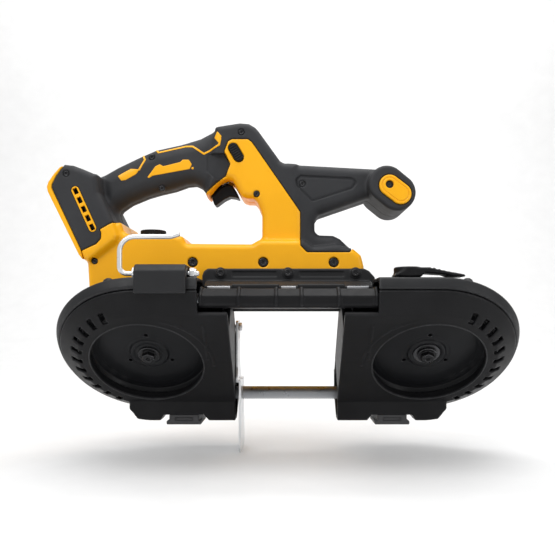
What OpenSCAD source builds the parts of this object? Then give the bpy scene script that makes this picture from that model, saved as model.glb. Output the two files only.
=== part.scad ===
// Cordless portable band saw, millimetres, +Z up.
// X runs along the blade (battery end at -X, front handle at +X), Y is the depth
// (the wheel covers lean towards -Y), Z is up. The model is drawn around the
// throat and moved once, at the end, so that its box stands on the origin.

/* [Wheels and blade] */
// Distance of each band wheel axis from the middle of the throat
wheel_x = 125.5; // [124:0.5:127]
// Radius of the band on the wheels
band_r = 63; // [62.5:0.1:63.2]
// Width of the saw band
band_w = 12.7; // [12:0.1:13]
// Thickness of the saw band
band_t = 0.5; // [0.4:0.05:0.6]
// Radius of the wheel axles
axle_r = 6; // [5.5:0.1:6.2]

/* [Wheel deck] */
// Outer radius of the wheel guards
guard_r = 84; // [83:0.5:85]
// Radius of the round opening in each guard
recess_r = 51.5; // [50:0.5:52]
// Distance from the guard face to the back of the deck
deck_d = 50; // [49.5:0.5:50]
// Left wall of the throat
throat_l = -50; // [-51:0.5:-49.5]
// Right wall of the throat
throat_r = 47; // [46.5:0.5:49]

/* [Body] */
// Half thickness of the lower body on the cover side
body_f = 32; // [31.5:0.5:32]
// Thickness of the lower body on the motor side
body_b = 42; // [41:0.5:43]
// Half thickness of the grip
grip_h = 19; // [18.5:0.5:19.5]
// Half thickness of the front arm
arm_h = 22; // [21.5:0.5:22.5]
// Half width of the battery end
foot_h = 38; // [37.5:0.5:38.5]
// Thickness of the soft cover on the grip
skin = 3; // [2.5:0.5:3.5]

/* [Controls] */
// Thickness of the trigger
trigger_w = 17; // [16:0.5:18]
// Diameter of the hook wire
hook_d = 4.2; // [4:0.1:4.4]
// Diameter of the housing screws
screw_d = 3; // [3:0.1:3.2]

/* [Hidden] */
$fn = 64;
e = 0.3;                 // gap between pieces that move
wt = 18;                 // depth of the wheel's middle behind the guard face
hook_y = -92; hook_z = 36.3;
stop_x0 = -49.6; stop_x1 = -47.4;
shift = [6.75, 33, 128.4]; // puts the bottom centre of the box on the origin
mot = [-107.2, 17];      // motor axis on the deck plane
mid = [-87.2, 0];        // middle gear axis on the deck plane
lev = [101, -85];        // pivot of the tension lever
k_y = "#F2AE12"; k_d = "#3A3A3C"; k_b = "#202022"; k_z = "#D9DCE0"; k_s = "#8E9298";

// ---- frames -------------------------------------------------------------
module w() { translate(shift) children(); }
// deck frame: x stays, y runs up the guard face, z points out of the face
module deck() { translate([0, -56, -42]) rotate([135, 0, 0]) children(); }
// extrude an X-Z outline from y0 to y1
module xz(y0, y1) { translate([0, y1, 0]) rotate([90, 0, 0]) linear_extrude(y1 - y0) children(); }
// extrude a Y-Z section from x0 to x1
module yz(x0, x1) { translate([x0, 0, 0]) rotate([90, 0, 90]) linear_extrude(x1 - x0) children(); }
module box(a, b) { translate(a) cube([b[0]-a[0], b[1]-a[1], b[2]-a[2]]); }
// cylinder on the deck, from depth w0 to w1 behind the guard face
module dcyl(x, u, w0, w1, r) { deck() translate([x, u, -w1]) cylinder(h = w1 - w0, r = r); }
module dring(x, u, w0, w1, r0, r1) { deck() difference() {
  translate([x, u, -w1]) cylinder(h = w1 - w0, r = r1);
  translate([x, u, -w1 - 1]) cylinder(h = w1 - w0 + 2, r = r0); } }
module ycyl(x, z, y0, y1, r) { translate([x, y1, z]) rotate([90, 0, 0]) cylinder(h = y1 - y0, r = r); }
module xcyl(x0, x1, y, z, r) { translate([x0, y, z]) rotate([0, 90, 0]) cylinder(h = x1 - x0, r = r); }

// ---- outlines on the X-Z plane -----------------------------------------
foot_pts = [[-212,139.5],[-206,141],[-198,140],[-190,137],[-180,132.5],[-172,132],[-163,142],
 [-152,131],[-150.8,103.2],[-155,98],[-156,90],[-162,86.8],[-175,82],[-173,76],[-175,71],[-191.6,62.4],
 [-220,122.3]];
grip_pts = [[-172,134],[-163,141.5],[-141,154.5],[-126.5,160.7],[-102.3,166],[-84.2,171.5],[-69,179.5],
 [-62,181],[-62,124],[-76,115],[-84.7,123],[-90.3,123.8],[-114.4,117.8],[-138.7,110.4],[-150.8,103.2],[-158,97],[-160,104]];
head_pts = [[-66,180.5],[-45.6,183.7],[-37,183],[-31,179.5],[-27.7,175.8],[-7.3,147.6],[-3.5,145.7],[6,145],
 [6,107],[11.5,99],[11.5,68],[11.5,40],[-27,40],[-27,72],[-24.5,76],[-24.5,95],[-25.6,98.8],[-29,106],[-32,109.5],
 [-39,109.5],[-43,111.5],[-48,120],[-52,127],[-58,128.5],[-66,124.5],[-73.5,115.5],[-77,115]];
low_pts = [[-187,52.5],[-191,56],[-175,71],[-173,76],[-175,82],[-156,89],[-153,80],[-149,77.2],[-108,77.2],[-98,75],
 [-94.5,68.5],[-34,67.9],[-27,72],[15,72],[24,66],[45,68],[60.7,63.6],[64,61],[68.2,57.3],[70.8,47.3],[70.8,36],
 [70.8,8.5],[throat_l,8.5],[throat_l,-30],[-184.5,-30],[-184.5,51.5]];
arm_pts = [[6,145],[85.5,140.7],[97,138],[88,122],[77,113.5],[29,97],[25.4,91.4],[25.4,81.3],[29,78],[43,77.5],[49.4,74.4],
 [60.7,63.6],[56,61],[20,61],[11.5,68],[11.5,99],[-7.3,128]];
cap_a = [91.5, 123.3]; cap_b = [101.3, 115.3]; cap_r = 17;

module foot2d() polygon(foot_pts);
module grip2d() polygon(grip_pts);
module head2d() polygon(head_pts);
module low2d() polygon(low_pts);
module arm2d() polygon(arm_pts);
// rounded bar between two points
module bar(a, b, r) { t = atan2(b[1] - a[1], b[0] - a[0]);
  polygon([for (i = [0:16]) b + r*[cos(t - 90 + i*11.25), sin(t - 90 + i*11.25)], for (i = [0:16]) a + r*[cos(t + 90 + i*11.25), sin(t + 90 + i*11.25)]]); }

// everything nearer than the deck's back plane, and the covers' own space
module deck_space() { deck() translate([-250, -160, -deck_d - e]) cube([500, 320, 200]); }

// ---- space for the inner pieces ----------------------------------------
gc = [-170, -62, -38, 30];   // gearcase x0 x1 u0 u1
module gear_pocket() { deck() translate([gc[0]-.5, gc[2]-.5, -84.5]) cube([gc[1]-gc[0]+1, gc[3]-gc[2]+1, 60]); }
module motor_pocket() { dcyl(mot[0], mot[1], 80, 129, 25.5); }
module switch_pocket() { box([-78, -9.5, 126], [-57.5, 9.5, 158]); box([-75, -9, 104], [-43, 9, 134]); }
// the body is a thin shell: open spaces of each zone
module hollow() {
  xz(-31.5, 31.5) polygon([[-206,134],[-186,129.5],[-179,125],[-179,88],[-186,73],[-190,69],[-214.5,121.5]]);
  xz(-12.5, 12.5) polygon([[-174,122],[-160,132],[-140,147],[-104,161],[-82,167],[-70,174],[-70,158],[-80,158],[-80,130],[-94,128],[-116,122],[-140,114.5],[-152,108],[-172,106]]);
  xz(-20.5, 20.5) polygon([[-23,56],[8,56],[8,104],[2,125],[-10,143],[-31,171],[-40,178],[-40,118],[-25,110],[-21,98],[-21,76]]);
  xz(-15.5, 15.5) polygon([[10,141],[78,137],[80,122],[74,116],[29,101],[15,98],[9.5,110],[5,127]]);
  box([-180.8, -28.5, -26.5], [-53.5, body_b - 3.5, 64.4]);
  box([-145.5, -28.5, 60], [-112, body_b - 3.5, 72]);
  box([-54, -28.5, 12], [58, body_b - 3.5, 62]);
  box([50, -28.5, 12], [67.3, body_b - 3.5, 46]);
}
screw_pts = [[-204,132],[-129.5,152],[-120,122.5],[-44,174],[-29.5,116],[-179.5,52],[13.5,126]];
big_pts = [[-88.5,50.8],[-23,50.8],[42.5,50.8]];
module bosses() { for (p = screw_pts) ycyl(p[0], p[1], -15.5, 15.5, 4.5); ycyl(-179.5, 52, -30, 30, 4.5);
  for (p = big_pts) ycyl(p[0], p[1], -body_f + .5, -16, 5);
  // dial post
  translate([-131.4, 0, 66]) cylinder(h = 8, r = 8); }
module screw_holes() { for (p = screw_pts) { ycyl(p[0], p[1], -20, 16, screw_d/2 + .1); ycyl(p[0], p[1], -60, -12, 3.1); }
  for (p = big_pts) { ycyl(p[0], p[1], -29, -14, 2.1); ycyl(p[0], p[1], -60, -28.9, 4.7); } }
module button_hole() { xz(-60, 60) bar([-51.5,159],[-46.4,150.5],4.9); }

module core() { // solid body before the halves are split and hollowed
  difference() {
    union() { difference() { union() {
      xz(-foot_h + skin, foot_h - skin) foot2d();
      xz(-grip_h + skin, grip_h - skin) grip2d();
      xz(-24, 24) head2d();
      xz(-arm_h + skin, arm_h - skin) arm2d();
      xz(-body_f, body_b) low2d();
    } hollow(); } bosses(); }
    deck_space();
    gear_pocket(); motor_pocket(); switch_pocket();
    screw_holes(); button_hole();
    // speed dial well
    translate([-131.4, 0, 72.4]) cylinder(h = 12, r = 12.7);
    translate([-131.4, 0, 60]) cylinder(h = 20, r = 3.05);
    // battery rail seat
    rail_cut();
    xz(-13, 13) polygon([[-213.5,112.8],[-209,115],[-193,81],[-197.8,79],[-240,79],[-240,112.8]]);
    for (y = stop_ys) xcyl(throat_l - 4, throat_l + 1, y, -9.4, 2.05);
    // handle end hole for the cap screw
    ycyl(93.6, 122.3, -60, 60, screw_d/2 + .1);
  }
}
module rail_cut() { xz(-60, 60) polygon([[-240,150],[-211.6,141],[-219.5,122.3],[-191,62],[-188,54],[-186.8,50],[-240,40]]); }

module housing_right() color(k_y) w() intersection() { core(); box([-300,-80,-120],[300,0,260]); }
module housing_left() color(k_y) w() intersection() { core(); box([-300,0,-120],[300,80,260]); }

// soft covers: side skins on grip, battery end, arm and head edge
module skin_side(s) {
  difference() {
    union() {
      if (s < 0) { xz(-foot_h, -foot_h + skin) foot2d(); xz(-grip_h, -grip_h + skin) grip2d();
                   xz(-arm_h, -arm_h + skin) arm2d(); }
      else { xz(foot_h - skin, foot_h) foot2d(); xz(grip_h - skin, grip_h) grip2d();
             xz(arm_h - skin, arm_h) arm2d(); }
      // handle end, a stout oval bar across the arm
      if (s < 0) xz(-36, -arm_h + skin) bar(cap_a, cap_b, cap_r);
      else xz(arm_h - skin, 30) bar(cap_a, cap_b, cap_r);
    }
    xz(-24.05, 24.05) head2d();
    if (s > 0) xz(-body_f - .05, body_b + .05) low2d();
    if (s < 0) xz(-body_f - .05, body_b + .05) low2d();
    xz(-grip_h + skin, grip_h - skin) union() { grip2d(); arm2d(); }
    xz(-foot_h + skin, foot_h - skin) foot2d();
    rail_cut();
    for (p = screw_pts) ycyl(p[0], p[1], -60, 60, 3.1);
    ycyl(93.6, 122.3, -60, 60, screw_d/2 + .1);
    if (s < 0) xz(-60, -32.5) bar([93.5,121.8],[104.4,113.8],9.9);
    // window in the battery end
    if (s < 0) xz(-60, -36.5) bar([-196.6,120.6],[-180.4,81],3.6);
  }
}
module overmold_right() color(k_d) w() skin_side(-1);
module overmold_left() color(k_d) w() skin_side(1);
// oval handle core belongs to the housing halves
module handle_core(y0, y1) { xz(y0, y1) bar(cap_a, cap_b, cap_r - .2); }

module battery_rail() color(k_y) w() difference() {
  union() {
    xz(-37.5, 37.5) polygon([[-212.2,139.3],[-216,137],[-223,123.5],[-191.6,56],[-187.9,52],[-188.9,55],[-191.4,62],[-219.8,122.3]]);
  }
  // guide grooves for the battery on both sides of the opening
  for (s = [-1, 1]) xz(s > 0 ? 22 : -31, s > 0 ? 31 : -22) polygon([[-230,123],[-221,123],[-192,60],[-200,52],[-230,52]]);
  xz(-14, 14) polygon([[-221.6,110],[-214.5,113],[-199,80],[-206,77]]);
}
module contact_block() color(k_b) w() difference() {
  xz(-13, 13) polygon([[-213.5,112.8],[-209,115],[-193,81],[-197.8,79]]);
}
module battery_contacts() color(k_s) w() for (y = [-9, -3, 3, 9])
  xz(y - .5, y + .5) polygon([[-220,110.6],[-213.22,112.2],[-199.89,83.5],[-206.5,81.6]]);

// ---- trigger ------------------------------------------------------------
trig_c = [-45.5, 124];
module trigger() color(k_b) w() difference() {
  xz(-trigger_w/2, trigger_w/2) polygon([[-73.3,114.6],[-70.6,106.4],[-68.4,105.6],[-61,111.2],[-55,114.4],[-50,113.6],[-45.2,111.8],
    [-48.6,118.8],[-52.6,125],[-57,126.8],[-64.5,123.6]]);
  translate([-61, 0, 119.5]) cylinder(h = 12, r = 3.9);
}
module trigger_spring() color(k_s) w() for (i = [0:4]) translate([-61, 0, 127.6 + i*2]) rotate_extrude() translate([3, 0]) circle(r = .45, $fn = 16);
module switch_body() color(k_b) w() { box([-77, -9, 136.3], [-58, 9, 157]); box([-72, -3, 130.5], [-68, 3, 136.3]); }
module lock_button() color(k_b) w() { xz(-25.5, -10.5) bar([-51.5,159],[-46.4,150.5],4.5); }
module control_board() color("#2E6B3A") w() { box([-200, -26, 100], [-180.5, 26, 102]); box([-197, -14, 102], [-184, 14, 112]); }

// ---- motor, on an axis square to the deck -------------------------------
module motor_stator() color(k_s) w() difference() { dcyl(mot[0], mot[1], 90, 116, 25.2); dcyl(mot[0], mot[1], 89, 117, 13.5); }
module motor_rotor() color("#6D6F75") w() { dcyl(mot[0], mot[1], 91, 115, 13); dcyl(mot[0], mot[1], 76.5, 127, 2.46); }
module motor_fan() color(k_b) w() { difference() { union() { dcyl(mot[0], mot[1], 117, 118.2, 22);
   deck() translate([mot[0], mot[1], -122]) for (a = [0:30:330]) rotate(a) translate([7, -.6, 0]) cube([14, 1.2, 4.2]);
   dcyl(mot[0], mot[1], 117, 122, 6); } dcyl(mot[0], mot[1], 116, 124, 2.46); } }
module motor_bearings() color(k_s) w() { dring(mot[0], mot[1], 123.5, 127.5, 2.5, 8); dring(mot[0], mot[1], 80.2, 85, 2.5, 8); }
module motor_pinion() color(k_s) w() dring(mot[0], mot[1], 70, 76, 2.46, 5.9);
module middle_gear() color(k_s) w() { dcyl(mid[0], mid[1], 70, 76, 20); dcyl(mid[0], mid[1], 60, 70, 8); dcyl(mid[0], mid[1], 55.5, 78.5, 3.95); }
module drive_gear() color(k_s) w() dring(-wheel_x, 0, 60.5, 67.5, axle_r, 30);

module gearcase() color("#9A9DA2") w() difference() {
  deck() translate([gc[0], gc[2], -79]) cube([gc[1]-gc[0], gc[3]-gc[2], 79 - deck_d - e]);
  dcyl(-wheel_x, 0, 58, 80, 32);
  dcyl(mid[0], mid[1], 58, 80, 22.2);
  dcyl(mot[0], mot[1], 68.5, 80, 8);
  dcyl(mid[0], mid[1], 55, 60, 4);
  dcyl(-wheel_x, 0, 40, 60, 13);
}
module gearcase_cover() color("#9A9DA2") w() difference() {
  deck() translate([gc[0], gc[2], -83.5]) cube([gc[1]-gc[0], gc[3]-gc[2], 4.3]);
  dcyl(mot[0], mot[1], 70, 90, 8.1);
  dcyl(mid[0], mid[1], 78, 81, 4);
  dcyl(-wheel_x, 0, 78, 81.5, axle_r + .05);
}
module drive_shaft() color(k_s) w() { dcyl(-wheel_x, 0, 12, 80.5, axle_r); dcyl(-wheel_x, 0, 26.5, 33, 9.5); }
module drive_bearings() color(k_s) w() { dring(-wheel_x, 0, 50.5, 57.5, axle_r + .05, 13); dring(-wheel_x, 0, 38, 44.5, axle_r + .05, 13); }

// ---- band wheels --------------------------------------------------------
module wheel_body(x) difference() {
  deck() translate([x, 0, 0]) rotate_extrude() polygon([[axle_r,-12],[16.5,-12],[17,-14],[52,-15],[54,-11],[band_r-2.6,-11],
    [band_r-2.6,-25.5],[54,-25.5],[52,-18.5],[17,-18.5],[16.5,-25.8],[axle_r,-25.8]]);
  for (a = [90, 210, 330]) deck() translate([x + 22*cos(a), 22*sin(a), -30]) cylinder(h = 20, r = 1.7);
}
module tyre(x) deck() translate([x, 0, 0]) rotate_extrude() polygon([[band_r-2.6,-11.2],[band_r-.1,-11.4],[band_r-.1,-25],[band_r-2.6,-25.3]]);
module drive_wheel() color("#2A2A2C") w() wheel_body(-wheel_x);
module idler_wheel() color("#2A2A2C") w() difference() { wheel_body(wheel_x); dcyl(wheel_x, 0, 5, 23.5, 12); dcyl(wheel_x, 0, 20, 30, 7.5); }
module drive_tyre() color(k_b) w() tyre(-wheel_x);
module idler_tyre() color(k_b) w() tyre(wheel_x);
module drive_wheel_bolt() color(k_b) w() { dcyl(-wheel_x, 0, 5.5, 10.2, 6.5); dcyl(-wheel_x, 0, 10.2, 12, 10); }
module idler_wheel_bolt() color(k_b) w() { dcyl(wheel_x, 0, 5.5, 10.2, 6.5); dcyl(wheel_x, 0, 10.2, 11.7, 9); }
module idler_bearing() color(k_s) w() dring(wheel_x, 0, 12.5, 23.3, axle_r, 11.95);
module idler_axle() color(k_s) w() { dcyl(wheel_x, 0, 11.7, 40, axle_r); dcyl(wheel_x, 0, 26.4, 31, 9); }
module idler_slide() color(k_s) w() difference() {
  deck() translate([wheel_x - 22, -14, -38]) cube([44, 28, 6.6]);
  dcyl(wheel_x, 0, 25, 45, axle_r);
  deck() translate([wheel_x - 22.5, -4, -38.5]) cube([6, 8, 7.6]);
}
module tension_spring() color(k_s) w() for (i = [0:5]) deck() translate([wheel_x - 43.5 + i*3.4, 0, -35]) rotate([0,90,0]) rotate_extrude() translate([3.4,0]) circle(r = .7, $fn = 16);
module tension_lever() color(k_b) w() difference() {
  union() {
    xz(-96, -74) polygon([[89,33.5],[90,36],[99.4,41.5],[120,41.5],[133,37.8],[147,35.2],[148,33.5]]);
    translate([lev[0], lev[1], 33.5]) cylinder(h = 8.6, r = 11.5);
  }
  // finger slot under the handle
  xz(-120, -60) polygon([[113.5,35.2],[136,35.2],[131,36.6],[113.5,37.6]]);
  translate([lev[0], lev[1], 30]) cylinder(h = 10.7, r = 3.05);
}

// ---- saw band -----------------------------------------------------------
module half_band(s) deck() translate([s*wheel_x, 0, -wt - band_w/2]) rotate([0,0, s > 0 ? -90 : 90])
  rotate_extrude(angle = 180) translate([band_r, 0]) square([band_t, band_w]);
by = -56 + .70711*(wt + band_r + band_t/2); // y of the lower run
bz = -42 + .70711*(wt - band_r - band_t/2); // z of the lower run
module blade() color("#B9BDC3") w() {
  half_band(-1); half_band(1);
  deck() translate([-wheel_x, band_r, -wt - band_w/2]) cube([2*wheel_x, band_t, band_w]);
  box([-76, by - band_t/2, bz - band_w/2], [76, by + band_t/2, bz + band_w/2]);
  for (s = [-1, 1]) translate([s*75.5, by, bz]) rotate([90, 0, s*90]) rotate([0, 0, 0])
    linear_extrude(height = wheel_x - 85, twist = s*45, slices = 8, segments = 4) square([band_t, band_w], center = true);
  for (s = [-1, 1]) deck() translate([s > 0 ? 115.9 : -125.6, -band_r - band_t, -wt - band_w/2]) cube([9.7, band_t, band_w]);
}

// ---- deck frame and guards ---------------------------------------------
// ring profile revolved around a wheel's outer half, then carried straight to the throat
module rev_half(s, pts) deck() translate([s*wheel_x, 0, 0]) rotate([0,0, s > 0 ? -90 : 90]) rotate_extrude(angle = 180) polygon(pts);
module straight(s, x, pts) // profile in (u, n), from the wheel axis to the throat
  deck() translate([s > 0 ? x : -wheel_x, 0, 0]) rotate([90,0,90]) linear_extrude(abs(wheel_x - abs(x))) polygon(pts);

guard_prof = [[recess_r,0],[60,0],[78,-11],[78,-13],[75,-13],[59,-3],[recess_r,-3]];
boss_pts = [[58, 30, 46, 50], [153.5, 66, 27.7, 36], [153.5, -66, 27.7, 36]]; // x, u, boss end, screw seat
module guard(s) { xw = s > 0 ? throat_r : throat_l;
  difference() {
    union() {
      rev_half(s, guard_prof);
      straight(s, xw, [[-54,0],[60,0],[78,-11],[78,-13],[75,-13],[59,-3],[-54,-3]]);
      // bosses for the screws from behind
      for (p = boss_pts) dcyl(s*p[0], p[1], abs(p[1]) > 60 ? 10.5 : 2, p[2] - .2, 4);
      // lower block: 45 degree strip, upright front face and foot
      intersection() {
        yz(s > 0 ? throat_r : -150, s > 0 ? 150 : throat_l) polygon([[-57.8,-39.8],[-18,-79.6],[-18,-98],[-14,-98.7],[2,-98.7],[24,-84],[26,-78],[22,-76],[2,-95.6],[-14,-95.6],[-15,-78.4],[-56,-37.6]]);
        translate([s*99.5, 0, 0]) box([-51,-80,-110],[51,60,0]);
      }
    }
    dcyl(s*wheel_x, 0, -5, 40, recess_r);
    deck() translate([-74.5, 61.5, -60]) cube([150, 40, 80]);
    for (p = boss_pts) dcyl(s*p[0], p[1], 14, 60, 1.55);
    // vent slots around the outer end
    for (i = [0:10]) deck() translate([s*wheel_x, 0, -8]) rotate(s > 0 ? 62 - i*11.8 : 118 + i*11.8) translate([59.5, -2.2, 0]) cube([9.5, 4.4, 10]);
    // notch for the foot pad
    translate([s*99.5, 0, 0]) box([-21, -60, -120], [21, 60, -92.8]);
  }
}
module guard_left() color(k_b) w() guard(-1);
module guard_right() color(k_b) w() guard(1);

module frame_side(s) { xw = s > 0 ? throat_r : throat_l;
  rev_half(s, [[80,-13.3],[82.5,-18],[guard_r,-22],[guard_r-28,-50],[0,-50],[0,-46],[54.5,-46],[57,-44.7],[80.2,-21.5],[77,-13.3]]);
  // straight top half and back plate
  straight(s, xw, [[-70,-50],[guard_r-28,-50],[guard_r,-22],[82.5,-18],[80,-13.3],[77,-13.3],[80.2,-21.5],[57,-44.7],[54.5,-46],[-70,-46]]);
  // lower rear skirt
  yz(s > 0 ? throat_r : -wheel_x, s > 0 ? wheel_x : throat_l) polygon([[26,-52],[32,-54],[30,-82],[26.4,-84.5],[24.5,-79.5],[26,-70]]);
}
module deck_frame() color(k_b) w() difference() {
  union() {
    frame_side(-1); frame_side(1);
    // bridge over the throat, under and behind the return run of the band
    deck() translate([throat_l - 1, 22, -50]) cube([throat_r - throat_l + 2, 21, 6]);
    box([throat_l - 1, -71.8, 7.5], [throat_r + 1, -36, 9.8]);
    // wheel bosses
    dcyl(-wheel_x, 0, 38, 49.5, 18);
    deck() translate([wheel_x - 30, -20, -49]) cube([56, 5.6, 17.5]);
    deck() translate([wheel_x - 30, 14.4, -49]) cube([56, 5.6, 17.5]);
    deck() translate([wheel_x - 48, -6, -49]) cube([3, 12, 18]);
    // seats of the two guide brackets
    for (x = [-78, 58]) yz(x, x + 20) polygon([[-13,-54],[24,-54],[22,-49],[12,-42],[6,-45],[-13,-49]]);
    // pivot of the tension lever
    translate([lev[0], lev[1], 30]) cylinder(h = 3.2, r = 9); translate([lev[0], lev[1], 30]) cylinder(h = 10.4, r = 3);
    // seats of the screws that hold the guards
    for (s = [-1, 1]) for (i = [1, 2]) dcyl(s*boss_pts[i][0], boss_pts[i][1], 27.7, 36, 5);
    // inner walls beside the throat
    deck() translate([throat_l - 3, -48, -49]) cube([3, 91, 45.6]);
    deck() translate([throat_r, -48, -49]) cube([3, 91, 45.6]);
  }
  dcyl(-wheel_x, 0, 30, 60, 13);
  // the guards' lower blocks
  for (s = [-1, 1]) translate([s*99.5, 0, 0]) yz(-53, 51.3) polygon([[-58.3,-39.2],[-18.3,-79.3],[-18.3,-99.2],[2.3,-99.2],[24.4,-84.4],[26.5,-77.8],[22,-75.6],[-14.7,-77.8],[-56,-36.9]]);
  for (s = [-1, 1]) for (i = [1, 2]) { dcyl(s*boss_pts[i][0], boss_pts[i][1], 10, 27.6, 4.3); dcyl(s*boss_pts[i][0], boss_pts[i][1], 36, 38.8, 3.8); }
  // the hook's washer and nut
  xcyl(-130.6, -125.8, hook_y, hook_z, 5.8); xcyl(-83, -74, hook_y, hook_z, 5.4);
  // the guards' tall rims stop beside the bridge
  box([-74.5, -130, 24.2], [75.5, -20, 60]); box([-74.5, -130, 6], [75.5, -72, 60]);
  box([-80, by - 3, bz - 14], [80, by + 3, bz + 10]);
  for (y = stop_ys) xcyl(throat_l - 4, throat_l + 1, y, -9.4, 2.1);
  // room around the saw band below the wheels
  for (s = [-1, 1]) dcyl(s*wheel_x, 0, 9, 27, 66);
  for (p = boss_pts) for (s = [-1, 1]) dcyl(s*p[0], p[1], 20, 60, 2.2);
}
module bridge_cover() color(k_b) w() difference() {
  union() {
    yz(-74.2, 75.2) polygon([[-95,7.5],[-97.2,10],[-97.2,17.5],[-90,24],[-64,24],[-64,21.5],[-89,21.5],[-94.7,16.5],[-94.7,9.9],[-72,9.9],[-72,7.5]]);
    for (x = [-72.8, -41, -9.8, 11.3, 42.3, 73.8]) yz(x - 1.1, x + 1.1) polygon([[-95,8],[-98.6,10],[-98.6,17.8],[-90,25.2],[-70,25.2],[-70,24],[-90,23.5],[-96.5,17]]);
  }
}
flange_pts = [[-62,40.5],[0,40.5],[62,40.5]];
module flange_bracket() color(k_b) w() difference() {
  union() {
    xz(-38, -body_f - .1) polygon([[-77.4,42],[-74,44.6],[70,44.6],[74.5,42.5],[80,36.5],[80,24],[-79,24],[-79,38]]);
    yz(-74, 75) polygon([[-38,32],[-52,31.6],[-62,27],[-62,24.4],[-38,24.4]]);
  }
  for (p = flange_pts) ycyl(p[0], p[1], -60, -20, 2.1);
}
module flange_screws() color(k_s) w() for (p = flange_pts) { ycyl(p[0], p[1], -40.4, -38, 4); ycyl(p[0], p[1], -38, -32.2, 2); }
module guard_screws() color(k_s) w() for (s = [-1, 1]) for (p = boss_pts) { dcyl(s*p[0], p[1], p[3] - 20, p[3], 1.5); dcyl(s*p[0], p[1], p[3], p[3] + 2, 3.4); }

// ---- blade guides -------------------------------------------------------
module guide_bracket(s) { x0 = s > 0 ? 53.3 : -79; x1 = s > 0 ? 79 : -53.3; xr = s*58.5; xt = s*71;
  difference() {
    union() {
      box([x0, -6, -58], [x1, 14, -54]);
      box([xr - 4.8, -9, -57.9], [xr + 4.8, -4, -54.1]);
      for (d = [-1, 1]) translate([xr, by + d*(6.5), -76]) cylinder(h = 18.5, r = 2);
      // fork of the thrust roller
      for (d = [-1, 1]) box([xt - 5, by + d*6.4 - 1.4, -66], [xt + 5, by + d*6.4 + 1.4, -57.9]);
      ycyl(xt, bz + band_w/2 + 6.2, by - 7, by + 7, 1.9);
    }
    difference() { box([xt - 6.6, by - 4.5, -67], [xt + 6.6, by + 4.5, -53]); ycyl(xt, bz + band_w/2 + 6.2, by - 8, by + 8, 1.9); }
  } }
module guide_bracket_left() color(k_s) w() guide_bracket(-1);
module guide_bracket_right() color(k_s) w() guide_bracket(1);
module side_roller(s, d) difference() { translate([s*58.5, by + d*6.5, -77]) cylinder(h = 11, r = 6); translate([s*58.5, by + d*6.5, -78]) cylinder(h = 14, r = 2.05); }
module guide_rollers_left_front() color(k_s) w() side_roller(-1, -1);
module guide_rollers_left_back() color(k_s) w() side_roller(-1, 1);
module guide_rollers_right_front() color(k_s) w() side_roller(1, -1);
module guide_rollers_right_back() color(k_s) w() side_roller(1, 1);
module thrust(s) difference() { ycyl(s*71, bz + band_w/2 + 6.2, by - 4, by + 4, 6); ycyl(s*71, bz + band_w/2 + 6.2, by - 5, by + 5, 1.95); }
module thrust_roller_left() color(k_s) w() thrust(-1);
module thrust_roller_right() color(k_s) w() thrust(1);

// ---- work stop ----------------------------------------------------------
module work_stop() color(k_z) w() difference() {
  intersection() {
    xz(-30, 30) polygon([[stop_x0,-2],[stop_x1,-2],[stop_x1,-59.8],[stop_x1+3,-59.8],[stop_x1+3,-130],[stop_x0+3,-130],[stop_x0+3,-62],[stop_x0,-62]]);
    yz(-60, -40) polygon([[-17,-3.5],[11,-3.5],[11,-46],[26,-57],[26,-124],[22,-128.4],[-18,-128.4],[-22,-124],[-22,-57],[-17,-48]]);
  }
  // slot that clears the band over the whole slide
  yz(-60, -40) translate([by - 3, -94]) square([6, 36]);
  // slots of the two clamp screws
  for (y = stop_ys) yz(-60, -40) translate([y - 2.2, -21.6]) square([4.4, 14.4]);
}
stop_ys = [-10, 4];
module work_stop_screws() color(k_s) w() for (y = stop_ys) { xcyl(throat_l - 3, stop_x1 + .3, y, -9.4, 2); xcyl(stop_x1 + .3, stop_x1 + 2.4, y, -9.4, 4); }

// ---- hanging hook -------------------------------------------------------
module hook_barrel() color(k_b) w() difference() {
  yz(-126, -83.3) polygon([[-108,19],[-108,38],[-103,43.3],[-80,43.3],[-76,40],[-76,33.4],[-100.6,33.4],[-101.2,31.5],[-104.6,19]]);
  xcyl(-140, -70, hook_y, hook_z, hook_d/2 + .05);
}
// bent round wire: elbows and straights meet face to face
module elbow(x, z, r, a0, a1) { translate([x, hook_y, z]) rotate([90, 0, 0]) rotate([0, 0, a0]) rotate_extrude(angle = a1 - a0) translate([r, 0]) circle(r = hook_d/2); }
module hook_wire() color(k_z) w() {
  r = hook_d/2 - .03; // the straights end just inside the bends
  xcyl(-134.75, -75, hook_y, hook_z, r);
  xcyl(-129.6, -126.3, hook_y, hook_z, 5.4);
  elbow(-134.7, hook_z + 6, 6, 180, 270);
  translate([-140.7, hook_y, hook_z + 5.95]) cylinder(h = 54.6 - hook_z - 6, r = r);
  elbow(-128.1, 54.5, 12.6, 90, 180);
  xcyl(-128.15, -99.75, hook_y, 67.1, r);
  elbow(-99.8, 79.1, 12, 270, 288);
  translate([-99.8 + 12*sin(18), hook_y, 79.1 - 12*cos(18)]) rotate([0, 72, 0]) translate([0, 0, -.05]) cylinder(h = 5.5, r = r);
}
module hook_nut() color(k_z) w() difference() { translate([-82, hook_y, hook_z]) rotate([0,90,0]) cylinder(h = 5.6, r = 5, $fn = 6); xcyl(-90, -70, hook_y, hook_z, hook_d/2); }

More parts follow.
